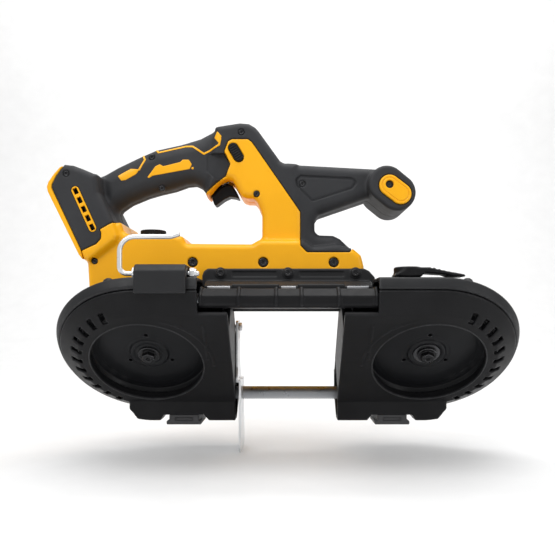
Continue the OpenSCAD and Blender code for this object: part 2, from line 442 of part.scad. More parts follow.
// ---- small pieces -------------------------------------------------------
module foot_pads() color(k_b) w() for (c = [-99, 99])
  xz(-17.5, 20) polygon([[c-16.5,-102.2],[c+16.5,-102.2],[c+16.5,-98.6],[c+14,-97],[c+14,-92.8],[c-14,-92.8],[c-14,-97],[c-16.5,-98.6]]);
module handle_end_cap() color(k_y) w() { xz(-37.3, -32.6) bar([93.7,121.6],[104.2,113.6],9.6); }
module speed_dial() color(k_b) w() { translate([-131.4, 0, 72.8]) cylinder(h = 11.4, r = 12.3); translate([-131.4, 0, 62]) cylinder(h = 11, r = 3); }
module housing_screws() color(k_b) w() { for (p = screw_pts) { ycyl(p[0], p[1], -15, 15, screw_d/2); ycyl(p[0], p[1], -15, -12.2, 2.9); } }
module bracket_screws() color(k_b) w() for (p = big_pts) { ycyl(p[0], p[1], -31.4, -28.9, 4.5); ycyl(p[0], p[1], -28.9, -15, 2); }

housing_right();
housing_left();
overmold_right();
overmold_left();
battery_rail();
battery_contacts();
contact_block();
trigger();
trigger_spring();
switch_body();
lock_button();
control_board();
motor_stator();
motor_rotor();
motor_fan();
motor_bearings();
motor_pinion();
middle_gear();
gearcase();
gearcase_cover();
drive_gear();
drive_shaft();
drive_bearings();
drive_wheel();
drive_tyre();
drive_wheel_bolt();
idler_wheel();
idler_tyre();
idler_axle();
idler_bearing();
idler_wheel_bolt();
idler_slide();
tension_spring();
tension_lever();
blade();
deck_frame();
guard_left();
guard_right();
bridge_cover();
flange_bracket();
flange_screws();
guide_bracket_left();
guide_bracket_right();
guide_rollers_left_front();
guide_rollers_left_back();
guide_rollers_right_front();
guide_rollers_right_back();
thrust_roller_left();
thrust_roller_right();
work_stop();
work_stop_screws();
hook_barrel();
hook_wire();
hook_nut();
foot_pads();
handle_end_cap();
speed_dial();
housing_screws();
guard_screws();
bracket_screws();
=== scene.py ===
"""Looks for the portable band saw. Shapes are signed distance functions in millimetres around
the middle of the throat, turned into smooth closed meshes; S moves them into the row frame."""
import bpy
import math
import numpy as np
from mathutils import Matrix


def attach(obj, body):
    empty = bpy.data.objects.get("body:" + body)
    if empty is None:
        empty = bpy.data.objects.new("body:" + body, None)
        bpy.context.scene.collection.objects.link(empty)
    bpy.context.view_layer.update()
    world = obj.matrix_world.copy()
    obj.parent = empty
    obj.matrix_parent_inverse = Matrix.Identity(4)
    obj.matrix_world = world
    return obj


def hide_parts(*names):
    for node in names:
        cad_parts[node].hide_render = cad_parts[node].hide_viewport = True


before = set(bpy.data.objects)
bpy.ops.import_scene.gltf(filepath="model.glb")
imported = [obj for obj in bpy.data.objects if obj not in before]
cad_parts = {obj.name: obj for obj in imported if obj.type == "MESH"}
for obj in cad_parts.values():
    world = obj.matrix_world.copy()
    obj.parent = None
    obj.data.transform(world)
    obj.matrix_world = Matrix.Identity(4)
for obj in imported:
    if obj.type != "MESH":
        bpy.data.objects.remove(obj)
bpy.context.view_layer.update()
S = np.array([6.75, 33.0, 128.4])
C45 = math.sqrt(0.5)


# ---- distance toolkit ----------------------------------------------------
def poly(pts):
    pts = np.array(pts, float)

    def f(x, z):
        shape = np.broadcast(x, z).shape
        d = np.full(shape, 1e18)
        neg = np.zeros(shape, bool)
        for i in range(len(pts)):
            a, b = pts[i], pts[i - 1]
            e = b - a
            wx, wz = x - a[0], z - a[1]
            t = np.clip((wx * e[0] + wz * e[1]) / (e @ e), 0, 1)
            bx, bz = wx - e[0] * t, wz - e[1] * t
            d = np.minimum(d, bx * bx + bz * bz)
            c1, c2, c3 = z >= a[1], z < b[1], e[0] * wz > e[1] * wx
            neg ^= (c1 & c2 & c3) | (~c1 & ~c2 & ~c3)
        return np.where(neg, -1, 1) * np.sqrt(d)
    return f


def soft(pts, r):
    """Outline with corners rounded by about r."""
    f = poly(pts)
    pts = np.array(pts, float)
    out = []
    n = len(pts)
    for i in range(n):
        p, a, b = pts[i], pts[i - 1], pts[(i + 1) % n]
        u, v = a - p, b - p
        lu, lv = np.linalg.norm(u), np.linalg.norm(v)
        c = float(np.clip(u @ v / (lu * lv), -1, 1))
        ang = math.acos(c)
        if ang > math.radians(172):
            out.append(p)
            continue
        cut = min(r / math.tan(ang / 2), lu * 0.45, lv * 0.45)
        s, e = p + u / lu * cut, p + v / lv * cut
        for t in np.linspace(0, 1, 6):
            out.append((1 - t) ** 2 * s + 2 * t * (1 - t) * p + t * t * e)
    return table(poly(out), pts, 0.4 if r > 0.6 else 0.25)


def table(f, pts, h, pad=12):
    """The outline's distance kept on a fine grid, read back by interpolation."""
    lo, hi = pts.min(0) - pad, pts.max(0) + pad
    n = np.ceil((hi - lo) / h).astype(int) + 1
    G = f(lo[0] + h * np.arange(n[0])[:, None], lo[1] + h * np.arange(n[1])[None, :])

    def g(x, z):
        a, b = (x - lo[0]) / h, (z - lo[1]) / h
        ca, cb = np.clip(a, 0, n[0] - 1.001), np.clip(b, 0, n[1] - 1.001)
        i, j = ca.astype(np.int32), cb.astype(np.int32)
        p, q = ca - i, cb - j
        v = (G[i, j] * (1 - p) + G[i + 1, j] * p) * (1 - q) + (G[i, j + 1] * (1 - p) + G[i + 1, j + 1] * p) * q
        return v + np.hypot(a - ca, b - cb) * h
    return g


def bar(a, b, r):
    a, b = np.array(a, float), np.array(b, float)
    e = b - a

    def f(x, z):
        t = np.clip(((x - a[0]) * e[0] + (z - a[1]) * e[1]) / (e @ e), 0, 1)
        return np.hypot(x - a[0] - e[0] * t, z - a[1] - e[1] * t) - r
    return f


def rext(d2, y, y0, y1, r):
    dy = np.abs(y - (y0 + y1) / 2) - (y1 - y0) / 2
    a, b = d2 + r, dy + r
    return np.hypot(np.maximum(a, 0), np.maximum(b, 0)) + np.minimum(np.maximum(a, b), 0) - r


def rbox(x, y, z, lo, hi, r):
    q = [np.abs(v - (l + h) / 2) - (h - l) / 2 + r for v, l, h in zip((x, y, z), lo, hi)]
    return (np.sqrt(sum(np.maximum(k, 0) ** 2 for k in q))
            + np.minimum(np.maximum(q[0], np.maximum(q[1], q[2])), 0) - r)


def smin(a, b, k):
    h = np.clip(0.5 + 0.5 * (b - a) / k, 0, 1)
    return b + (a - b) * h - k * h * (1 - h)


def smax(a, b, k):
    return -smin(-a, -b, k)


def union(*d):
    out = d[0]
    for v in d[1:]:
        out = np.minimum(out, v)
    return out


def deckc(y, z):
    """Deck coordinates u (up the guard face) and w (depth behind it)."""
    dy, dz = y + 56, z + 42
    return C45 * (dz - dy), C45 * (dy + dz)


def undeck(x, u, w):
    return np.stack([x, -56 - C45 * u + C45 * w, -42 + C45 * u + C45 * w], -1)


# ---- meshing -------------------------------------------------------------
def nets(F, lo, hi, h):
    lo, hi = np.array(lo, float) - np.array([0.371, 0.613, 0.443]) * h, np.array(hi, float)
    n = np.ceil((hi - lo) / h).astype(int) + 1
    ax = [lo[k] + h * np.arange(n[k]) for k in range(3)]
    G = F(ax[0][:, None, None], ax[1][None, :, None], ax[2][None, None, :])
    G = np.broadcast_to(G, tuple(n)).astype(np.float32)
    inside = G < 0
    cells = tuple(n - 1)
    strides = np.array([cells[1] * cells[2], cells[2], 1])
    sums, ids, quads = [], [], []
    for a in range(3):
        s0 = [slice(None)] * 3
        s1 = [slice(None)] * 3
        s0[a], s1[a] = slice(0, -1), slice(1, None)
        A, B = inside[tuple(s0)], inside[tuple(s1)]
        idx = np.argwhere(A != B)
        if not len(idx):
            continue
        b, c = (a + 1) % 3, (a + 2) % 3
        idx = idx[(idx[:, b] > 0) & (idx[:, c] > 0) & (idx[:, b] < n[b] - 1) & (idx[:, c] < n[c] - 1)]
        g0 = G[tuple(idx.T)]
        j = idx.copy()
        j[:, a] += 1
        g1 = G[tuple(j.T)]
        t = g0 / (g0 - g1)
        pos = idx.astype(float)
        pos[:, a] += t
        ring = []
        for db, dc in ((-1, -1), (0, -1), (0, 0), (-1, 0)):
            k = idx.copy()
            k[:, b] += db
            k[:, c] += dc
            cid = k @ strides
            ids.append(cid)
            sums.append(pos)
            ring.append(cid)
        q = np.stack(ring, 1)
        flip = g0 > 0
        q[flip] = q[flip][:, ::-1]
        quads.append(q)
    ids = np.concatenate(ids)
    sums = np.concatenate(sums)
    uniq, inv = np.unique(ids, return_inverse=True)
    cnt = np.bincount(inv)
    V = np.stack([np.bincount(inv, sums[:, k]) / cnt for k in range(3)], 1) * h + lo
    Qd = np.searchsorted(uniq, np.concatenate(quads))
    # settle the vertices on the surface
    for _ in range(2):
        x, y, z = V[:, 0], V[:, 1], V[:, 2]
        d = F(x, y, z)
        e = 0.12 * h
        g = np.stack([F(x + e, y, z) - F(x - e, y, z), F(x, y + e, z) - F(x, y - e, z),
                      F(x, y, z + e) - F(x, y, z - e)], 1) / (2 * e)
        m = np.maximum((g * g).sum(1), 0.2)
        step = np.clip(d / m, -0.5 * h, 0.5 * h)
        V = V - step[:, None] * g
    return V, Qd


def mesh(name, V, F, smooth=True, metric=False):
    me = bpy.data.meshes.new(name)
    V = np.asarray(V, float)
    if not metric:
        V = (V + S) / 1000
    F = np.asarray(F)
    me.vertices.add(len(V))
    me.vertices.foreach_set("co", V.astype(np.float32).ravel())
    k = F.shape[1]
    me.loops.add(F.size)
    me.loops.foreach_set("vertex_index", F.astype(np.int32).ravel())
    me.polygons.add(len(F))
    me.polygons.foreach_set("loop_start", np.arange(0, F.size, k, dtype=np.int32))
    me.polygons.foreach_set("loop_total", np.full(len(F), k, np.int32))
    me.polygons.foreach_set("use_smooth", np.full(len(F), smooth))
    me.update(calc_edges=True)
    me.validate()
    ob = bpy.data.objects.new(name, me)
    bpy.context.scene.collection.objects.link(ob)
    return ob


def piece(name, body, nodes, mat, F, lo, hi, h):
    """A moulded or cast piece from its distance function."""
    V, Qd = nets(F, lo, hi, h)
    ob = mesh(name, V, Qd)
    return dress(ob, body, nodes, mat)


def dress(ob, body, nodes, mat):
    ob.data.materials.append(mat)
    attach(ob, body)
    if nodes:
        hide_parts(*nodes)
    return ob


# ---- materials -----------------------------------------------------------
def material(name, a, b, rough, metal=0.0, bump=0.12, grain=900.0, grain_d=0.00006, cloud=22.0,
             edge=None, coat=0.0, cells=0.0, scratches=0.0, brushed=None, spec=0.5):
    """Procedural finish: colour drifts between a and b, roughness breaks up, fine grain in relief."""
    m = bpy.data.materials.new(name)
    m.use_nodes = True
    nt = m.node_tree
    N, L = nt.nodes, nt.links
    bs = N["Principled BSDF"]
    tc = N.new("ShaderNodeTexCoord")
    src = tc.outputs["Object"]
    if brushed:
        mp = N.new("ShaderNodeMapping")
        mp.inputs["Scale"].default_value = brushed
        L.new(src, mp.inputs["Vector"])
        fine_src = mp.outputs["Vector"]
    else:
        fine_src = src

    def noise(scale, detail, rough_=0.55, vec=src):
        n = N.new("ShaderNodeTexNoise")
        n.inputs["Scale"].default_value = scale
        n.inputs["Detail"].default_value = detail
        n.inputs["Roughness"].default_value = rough_
        L.new(vec, n.inputs["Vector"])
        return n.outputs["Fac"]

    def ramp(v, lo, hi, to0, to1):
        r = N.new("ShaderNodeMapRange")
        for k, q in zip(("From Min", "From Max", "To Min", "To Max"), (lo, hi, to0, to1)):
            r.inputs[k].default_value = q
        L.new(v, r.inputs["Value"])
        return r.outputs["Result"]

    def mix(fac, c0, c1):
        x = N.new("ShaderNodeMix")
        x.data_type = "RGBA"
        L.new(fac, x.inputs[0])
        for s, c in ((x.inputs[6], c0), (x.inputs[7], c1)):
            if isinstance(c, tuple):
                s.default_value = (*c, 1)
            else:
                L.new(c, s)
        return x.outputs[2]

    cl = noise(cloud, 5)
    col = mix(ramp(cl, 0.3, 0.7, 0, 1), a, b)
    # convex edges (by pointiness) are mixed towards the edge colour: a painted highlight along the edges, broken up by
    # noise as edge wear
    if edge:
        geo = N.new("ShaderNodeNewGeometry")
        edge_highlight_and_wear = N.new("ShaderNodeMath")
        edge_highlight_and_wear.operation = "MULTIPLY"
        L.new(ramp(geo.outputs["Pointiness"], 0.52, 0.6, 0, 1), edge_highlight_and_wear.inputs[0])
        L.new(ramp(noise(160, 6, 0.7), 0.42, 0.62, 0.15, edge[1]), edge_highlight_and_wear.inputs[1])
        col = mix(edge_highlight_and_wear.outputs[0], col, edge[0])
    L.new(col, bs.inputs["Base Color"])
    rr = N.new("ShaderNodeMath")
    rr.operation = "ADD"
    L.new(ramp(noise(cloud * 7, 6, 0.65), 0.3, 0.7, rough - 0.06, rough + 0.06), rr.inputs[0])
    L.new(ramp(noise(grain * 0.6, 3, 0.6, fine_src), 0.3, 0.7, -0.03, 0.03), rr.inputs[1])
    L.new(rr.outputs[0], bs.inputs["Roughness"])
    bs.inputs["Metallic"].default_value = metal
    bs.inputs["Specular IOR Level"].default_value = spec
    if coat:
        bs.inputs["Coat Weight"].default_value = coat
        bs.inputs["Coat Roughness"].default_value = 0.12
    b1 = N.new("ShaderNodeBump")
    b1.inputs["Strength"].default_value = bump
    b1.inputs["Distance"].default_value = grain_d
    L.new(noise(grain, 4, 0.6, fine_src), b1.inputs["Height"])
    last = b1
    if cells:
        v = N.new("ShaderNodeTexVoronoi")
        v.inputs["Scale"].default_value = cells
        L.new(src, v.inputs["Vector"])
        b2 = N.new("ShaderNodeBump")
        b2.inputs["Strength"].default_value = 0.35
        b2.inputs["Distance"].default_value = 0.00012
        L.new(v.outputs["Distance"], b2.inputs["Height"])
        L.new(b1.outputs["Normal"], b2.inputs["Normal"])
        last = b2
    if scratches:
        b3 = N.new("ShaderNodeBump")
        b3.inputs["Strength"].default_value = scratches
        b3.inputs["Distance"].default_value = 0.00004
        mp2 = N.new("ShaderNodeMapping")
        mp2.inputs["Scale"].default_value = (1.0, 14.0, 3.0)
        mp2.inputs["Rotation"].default_value = (0.3, 0.2, 0.5)
        L.new(src, mp2.inputs["Vector"])
        L.new(ramp(noise(70, 7, 0.8, mp2.outputs["Vector"]), 0.55, 0.62, 0, 1), b3.inputs["Height"])
        L.new(last.outputs["Normal"], b3.inputs["Normal"])
        last = b3
    L.new(last.outputs["Normal"], bs.inputs["Normal"])
    return m


M_YEL = material("yellow_nylon", (0.90, 0.415, 0.003), (0.95, 0.45, 0.004), 0.38, bump=0.22, grain=2600, coat=0.06, spec=0.3)
M_RUB = material("soft_rubber", (0.022, 0.0225, 0.025), (0.031, 0.032, 0.035), 0.62, bump=0.35, grain=1900, cells=900, spec=0.3)
# the edge= colours below lighten convex edges: painted highlight along the edges, partly edge wear
M_BLK = material("black_nylon", (0.0065, 0.0065, 0.0072), (0.0105, 0.0105, 0.0115), 0.42, bump=0.3, grain=1500,
                 edge=((0.05, 0.051, 0.054), 0.6), spec=0.14)
M_DECK = material("black_casting", (0.0095, 0.0098, 0.011), (0.0145, 0.015, 0.0165), 0.5, bump=0.4, grain=1100,
                  edge=((0.07, 0.07, 0.074), 0.6), scratches=0.1, spec=0.3)
M_WHEEL = material("wheel_paint", (0.0085, 0.0088, 0.010), (0.0125, 0.013, 0.0145), 0.36, bump=0.2, grain=1000,
                   edge=((0.12, 0.12, 0.125), 0.6), scratches=0.15, spec=0.16)
M_ZINC = material("zinc", (0.74, 0.75, 0.77), (0.82, 0.83, 0.84), 0.34, metal=0.7, bump=0.0, grain=500)
M_STEEL = material("steel", (0.52, 0.53, 0.55), (0.62, 0.63, 0.65), 0.3, metal=1.0, bump=0.2, grain=600,
                   brushed=(1, 14, 14), scratches=0.2)
M_BLADE = material("blade_steel", (0.40, 0.41, 0.43), (0.50, 0.51, 0.53), 0.32, metal=1.0, bump=0.1, grain=420,
                   brushed=(1, 9, 22), scratches=0.12)
M_CAST = material("cast_aluminium", (0.40, 0.41, 0.42), (0.48, 0.49, 0.50), 0.48, metal=1.0, bump=0.5, grain=900)
M_SCREW = material("black_screw", (0.030, 0.030, 0.032), (0.05, 0.05, 0.052), 0.30, metal=0.9, bump=0.2, grain=900,
                   edge=((0.35, 0.35, 0.36), 0.8), scratches=0.2)
M_TYRE = material("tyre_rubber", (0.022, 0.022, 0.024), (0.032, 0.032, 0.034), 0.6, bump=0.35, grain=1400, cells=700)
M_COPPER = material("copper", (0.72, 0.34, 0.20), (0.80, 0.42, 0.26), 0.28, metal=1.0, grain=800)
M_BOARD = material("circuit_board", (0.02, 0.12, 0.045), (0.03, 0.16, 0.06), 0.4, grain=900)
M_PAD = material("foot_rubber", (0.030, 0.030, 0.032), (0.042, 0.042, 0.044), 0.6, bump=0.4, grain=1300, cells=800)


# ---- body ----------------------------------------------------------------
def fv(pts, y):
    """Points read on the front view, in its units, carried onto the plane at depth y."""
    k = (635 + y) / 650
    return [((px - 288) * k, (317 - py) * k) for px, py in pts]


def line2(pts, r):
    bars = [bar(pts[i], pts[i + 1], r) for i in range(len(pts) - 1)]

    def f(x, z):
        out = bars[0](x, z)
        for b in bars[1:]:
            out = np.minimum(out, b(x, z))
        return out
    return f


foot = soft([(-212, 139.5), (-206, 141), (-198, 140), (-190, 137), (-180, 132.8), (-176, 132), (-174.2, 114.8),
             (-161.2, 88.6), (-156.4, 75), (-158, 69.5), (-180, 52.6), (-184, 50.6), (-189, 53), (-193, 61),
             (-221, 119), (-219, 128), (-214, 137)], 3)
grip = soft([(-180, 134.3), (-163, 144), (-141, 154.5), (-126.5, 160.7), (-102.3, 166), (-84.2, 171.5), (-69, 179.5),
             (-57, 182), (-57, 131.5), (-66, 126.4), (-74.2, 117.4), (-77, 116.6), (-83.5, 125.2), (-89.5, 128.2), (-97.5, 127.4), (-109.6, 123.1), (-123.9, 119.8),
             (-136.1, 116.3), (-152.3, 109.6), (-161.6, 103.2), (-164, 99.5), (-163.6, 95), (-160.6, 87), (-157, 80), (-174, 82), (-178, 104)], 4)
head = soft([(-69, 179.5), (-66, 180.5), (-45.6, 183.7), (-37, 183), (-31, 179.5), (-27.7, 175.8), (-7.3, 147.6), (-3.5, 145.7),
             (9, 144.8), (11.5, 107), (15, 60), (15, 34), (-33, 34), (-27, 72), (-24.5, 76), (-24.5, 95), (-25.6, 100),
             (-29, 108), (-32, 111.8), (-39, 112), (-43.6, 113.8), (-48.4, 122), (-52.4, 129), (-58.4, 130.5), (-66.6, 126.3),
             (-74, 117.4), (-78, 114.6)], 2.5)
low = soft([(-187, 52.5), (-191, 56), (-175, 71), (-173, 76), (-175, 82), (-156, 89), (-153, 80), (-149, 77.2), (-108, 77.2),
            (-98, 75), (-94.5, 68.5), (-34, 67.9), (-27, 72), (15, 72), (24, 66), (45, 68), (60.7, 63.6), (64, 61),
            (68.2, 57.3), (70.8, 47.3), (70.8, 8.5), (-184.5, 8.5)], 3)
arm = soft([(-3, 146), (9, 144.8), (85.5, 140.7), (97, 138), (88, 122), (77, 113.5), (29, 97), (25.4, 91.4), (25.4, 81.3), (29, 78),
            (43, 77.5), (49.4, 74.4), (60.7, 63.6), (56, 58), (20, 58), (6, 68), (0, 110)], 4)
endbar = bar((91.5, 123.3), (101.3, 115.3), 17)
mouth = soft([(-94.5, 68.2), (-34, 68.2), (-24.5, 76), (-24.5, 95), (-29, 106), (-40, 100), (-90, 90), (-110, 77.4)], 4)

yhead = soft([(-56.4, 165.6), (-52.6, 167.5), (-37.6, 167.5), (-33.8, 164.5), (11.7, 98.9), (11.7, 30), (-46, 30), (-46, 104),
              (-60, 106), (-74, 106), (-80, 112.2), (-75.6, 117.4),
              (-66, 126.1), (-59.4, 131.5), (-54.3, 144.3), (-60.2, 155.6)], 3)
ylow = soft([(11.7, 66.5), (17.6, 60.3), (57.5, 60.3), (60, 64.5), (90, 60), (90, 0), (-230, 0), (-230, 56), (-190.4, 60.6),
             (-188.9, 61.4), (-176.4, 67.2), (-172.2, 72), (-171.8, 77), (-173.2, 80.6), (-167, 84), (-158, 89.5), (-152, 96), (-100, 96), (-30, 80), (0, 80)], 1.5)
yband = line2([(-78.6, 113), (-66, 125.3), (-57.5, 131)], 2.4)
t_a = line2(fv([(139.5, 150), (144.5, 159.4), (139.1, 169.7)], -19), 0.95)
t_ap = soft(fv([(130.6, 168.6), (139.6, 169.4), (136.1, 174.2), (125.8, 180), (121.2, 180.8), (117.4, 176)], -19), 1)
t_b = line2(fv([(154, 147), (157.9, 151.8), (185.2, 145.7), (192.4, 146.1), (203.9, 153.9), (219.7, 146.1), (220.9, 140)], -19), 0.95)
t_bd = soft(fv([(217.3, 131.6), (222, 137), (219.1, 144), (214.3, 138.2)], -21), 0.8)
t_c = soft(fv([(147.2, 177.4), (155.2, 166.4), (159.7, 164.2), (163.3, 166.2), (180.3, 162), (182.7, 159.6), (188.8, 159.6),
               (191.8, 164.2), (189.8, 169), (152.6, 175.8), (148.8, 178.2)], -19), 0.9)
t_d = bar(*fv([(192.4, 168.2), (192.7, 168.2)], -19), 1.1)
pad_r = soft(fv([(207.5, 154), (226.5, 154.5), (229.3, 165), (226.4, 176.5), (216.5, 180.5), (207, 171)], -20), 2.5)
SCREWS = [(-204, 132), (-129.5, 152), (-120, 122.5), (-44, 174), (-29.5, 116), (-179.5, 52), (13.5, 126)]
BIG = [(-88.5, 50.8), (-23, 50.8), (42.5, 50.8)]
pocket = soft([(7.5, 129.5), (11.7, 133), (60.5, 130.6), (64.7, 127), (60.5, 121.6), (23, 109.6), (8.5, 124)], 2.5)
window = bar((-195.5, 116.5), (-179.7, 81.7), 3.7)
trig = soft([(-75, 117), (-71.4, 102), (-45.6, 102), (-45, 114), (-48.6, 121.4), (-52.6, 127.6), (-57.6, 129.6), (-65.5, 126.2)], 1)


def region(x, z):
    return union(yhead(x, z), ylow(x, z), yband(x, z))


def body(x, y, z):
    g = rext(grip(x, z), y, -19, 19, 13.5)
    # soft swell along the palm and finger flats
    b = smin(rext(foot(x, z), y, -38, 38, 6), g, 5)
    b = smin(b, rext(head(x, z), y, -24, 24, 6.5), 4)
    b = smin(b, rext(arm(x, z), y, -22, 22, 8.5), 3)
    b = smin(b, rext(low(x, z), y, -32, 42, 5.5), 3)
    e = rext(endbar(x, z), y, -36, 30, 3.6)
    b = smin(b, e, 3)
    # shallow inset pad and pocket panel
    b = smax(b, -rext(pad_r(x, z), y, -60, -18.4, 0.3), 0.5)
    gr = np.abs(pocket(x, z)) - 0.8
    b = smax(b, -rext(gr, y, -60, -20.6, 0.2), 0.5)
    b = smax(b, -rext(pocket(x, z), y, -60, -21.5, 0.2), 0.6)
    # seams on the end bar face
    cap = bar((93.7, 121.6), (104.2, 113.6), 10.3)(x, z)
    b = smax(b, -rext(cap, y, -60, -34.6, 0.3), 0.5)
    b = smax(b, -rext(bar((-51.5, 159), (-46.4, 150.5), 4.9)(x, z), y, -60, 60, 0.2), 0.5)
    # slot for the trigger over its whole travel
    tr = np.minimum.reduce([trig(x, z - k) for k in (0.0, 1.3, 2.6, 3.9, 5.2, 6.5)]) - 0.25
    b = smax(b, -rext(tr, y, -9.2, 9.2, 0.4), 0.5)
    for p in SCREWS:
        d = np.hypot(x - p[0], z - p[1])
        b = smax(b, -rext(d - 3.1, y, -60, -15, 0.1), 0.5)
    for p in BIG:
        d = np.hypot(x - p[0], z - p[1])
        b = smax(b, -rext(d - 4.8, y, -60, -28.9, 0.1), 0.5)
    # battery end: window recess, rail seat
    b = smax(b, -rext(window(x, z), y, -60, -36.6, 0.3), 0.6)
    b = smax(b, -rext(window(x, z) + 1.5, y, -60, -28, 0.2), 0.4)
    # dial well
    b = smax(b, -smax(smax(np.hypot(x + 131.4, y) - 12.9, 72.6 - z, 0.3), z - 88, 0.3), 0.4)
    # the deck's room
    u, w = deckc(y, z)
    return np.maximum(b, 50.3 - w)


RAIL = poly([(-240, 150), (-206, 142), (-207.4, 137.4), (-213, 129.6), (-217, 121.6), (-217, 118.6), (-190.4, 62), (-188, 54), (-186.8, 50), (-240, 40)])


def yellow(s):
    def f(x, y, z):
        d = np.maximum(body(x, y, z), -RAIL(x, z))
        d = smax(d, region(x, z) + 0.2, 0.7)
        return smax(d, s * y * -1 + 0.12, 0.4)
    return f


def dark(s):
    def f(x, y, z):
        d = np.maximum(body(x, y, z), -RAIL(x, z))
        d = smax(d, -region(x, z) + 0.2, 0.7)
        return smax(d, s * y * -1 + 0.12, 0.4)
    return f


HB = 1.0
piece("body_right", "root", ["housing_right"], M_YEL, yellow(-1), (-222, -41, -4), (114, 2, 188), HB)
piece("body_left", "root", ["housing_left"], M_YEL, yellow(1), (-222, -2, -4), (114, 45, 188), HB * 1.2)
piece("cover_right", "root", ["overmold_right"], M_RUB, dark(-1), (-224, -41, 52), (124, 2, 188), HB)
piece("cover_left", "root", ["overmold_left"], M_RUB, dark(1), (-224, -2, 52), (124, 41, 188), HB * 1.2)

# ---- small builders ------------------------------------------------------
def merged(parts):
    V, F, n = [], [], 0
    for v, f in parts:
        V.append(v)
        F.append(np.asarray(f) + n)
        n += len(v)
    return np.concatenate(V), np.concatenate(F)


def solid(F, lo, hi, h):
    return nets(F, lo, hi, h)


def made(name, body_, nodes, mat, parts, h=None):
    V, F = merged(parts)
    return dress(mesh(name, V, F), body_, nodes, mat)


def on_y(V, x, y, z):
    """Local z (out of the head) to -Y."""
    return np.stack([V[:, 0] + x, y - V[:, 2], V[:, 1] + z], 1)


def on_deck(V, x, u, w):
    """Local z to out of the guard face."""
    return undeck(V[:, 0] + x, V[:, 1] + u, w - V[:, 2])


def torx(x, y, r):
    a = np.arctan2(y, x)
    return np.hypot(x, y) - r * (0.86 + 0.14 * np.cos(6 * a))


def screw_head(r, hgt, sock, deep):
    """Domed head, top at z = hgt, with a six-lobe socket."""
    def f(x, y, z):
        d = rext(np.hypot(x, y) - r, z, 0, hgt, min(0.45 * hgt, 1.1))
        return smax(d, -np.maximum(torx(x, y, sock), (hgt - deep) - z), 0.25)
    return f


def screws(name, body_, nodes, mat, spots, r, hgt, sock, deep, put, shank, h=0.28):
    V, F = solid(screw_head(r, hgt, sock, deep), (-r - 1, -r - 1, -0.6), (r + 1, r + 1, hgt + 0.6), h)
    a = np.linspace(0, 2 * math.pi, 25)[:-1]
    ring = np.stack([np.cos(a), np.sin(a)], 1)
    sv = np.concatenate([np.c_[ring * shank[0], np.full(24, 0.3)], np.c_[ring * shank[0], np.full(24, -shank[1])],
                         np.c_[ring * 0.01, np.full(24, -shank[1] - 0.8)]])
    sf = [(i + 24 * k, i + 24 * (k + 1), (i + 1) % 24 + 24 * (k + 1), (i + 1) % 24 + 24 * k) for k in range(2) for i in range(24)]
    parts = []
    for p in spots:
        parts += [(put(V, *p), F), (put(sv, *p), sf)]
    return made(name, body_, nodes, mat, parts)


def lathe(prof, put, n=96):
    """Closed ring swept from (radius, height) points."""
    prof = np.array(prof, float)
    a = np.linspace(0, 2 * math.pi, n + 1)[:-1]
    V = np.stack([np.outer(np.cos(a), prof[:, 0]), np.outer(np.sin(a), prof[:, 0]), np.tile(prof[:, 1], (n, 1))], -1)
    k = len(prof)
    F = [(i * k + j, ((i + 1) % n) * k + j, ((i + 1) % n) * k + (j + 1) % k, i * k + (j + 1) % k) for i in range(n) for j in range(k)]
    return put(V.reshape(-1, 3)), F


def rounded(prof, r=0.6, n=4):
    """Profile with its corners turned into short arcs."""
    prof = np.array(prof, float)
    out = []
    for i, p in enumerate(prof):
        a, b = prof[i - 1], prof[(i + 1) % len(prof)]
        la, lb = np.linalg.norm(a - p), np.linalg.norm(b - p)
        c = min(r, 0.45 * la, 0.45 * lb)
        s, e = p + (a - p) / la * c, p + (b - p) / lb * c
        for t in np.linspace(0, 1, n):
            out.append((1 - t) ** 2 * s + 2 * t * (1 - t) * p + t * t * e)
    return out


def tube(path, r, n=20):
    """Round wire along points in a plane of constant y, with domed ends."""
    path = np.array(path, float)
    t = np.gradient(path, axis=0)
    t /= np.linalg.norm(t, axis=1)[:, None]
    side = np.array([0.0, 1.0, 0.0])
    up = np.cross(t, side)
    up /= np.linalg.norm(up, axis=1)[:, None]
    a = np.linspace(0, 2 * math.pi, n + 1)[:-1]
    rows = []
    for k in (0.02, 0.5, 0.86):
        c = math.sqrt(1 - k * k)
        rows.append((path[0] - t[0] * r * 0.5 * c, up[0], k * r))
    rows += [(p, q, r) for p, q in zip(path, up)]
    for k in (0.86, 0.5, 0.02):
        c = math.sqrt(1 - k * k)
        rows.append((path[-1] + t[-1] * r * 0.5 * c, up[-1], k * r))
    V = np.concatenate([p + rr * (np.outer(np.cos(a), side) + np.outer(np.sin(a), q)) for p, q, rr in rows])
    m = len(rows)
    F = [(i * n + j, i * n + (j + 1) % n, (i + 1) * n + (j + 1) % n, (i + 1) * n + j) for i in range(m - 1) for j in range(n)]
    return V, F


# ---- grip trims ----------------------------------------------------------
def trims(x, z):
    return union(t_a(x, z), t_ap(x, z), t_b(x, z), t_bd(x, z), t_c(x, z), t_d(x, z))


for s_, nm in ((-1, "right"), (1, "left")):
    def tf(x, y, z, s=s_):
        b = body(x, y, z)
        d = smax(b - 0.35, trims(x, z), 0.5)
        return np.maximum(np.maximum(d, -(b + 1.1)), 4 - s * y)
    lo, hi = ((-168, -26, 118), (-58, -3, 184)) if s_ < 0 else ((-168, 3, 118), (-58, 26, 184))
    piece("trim_" + nm, "root", [], M_YEL, tf, lo, hi, 0.55)

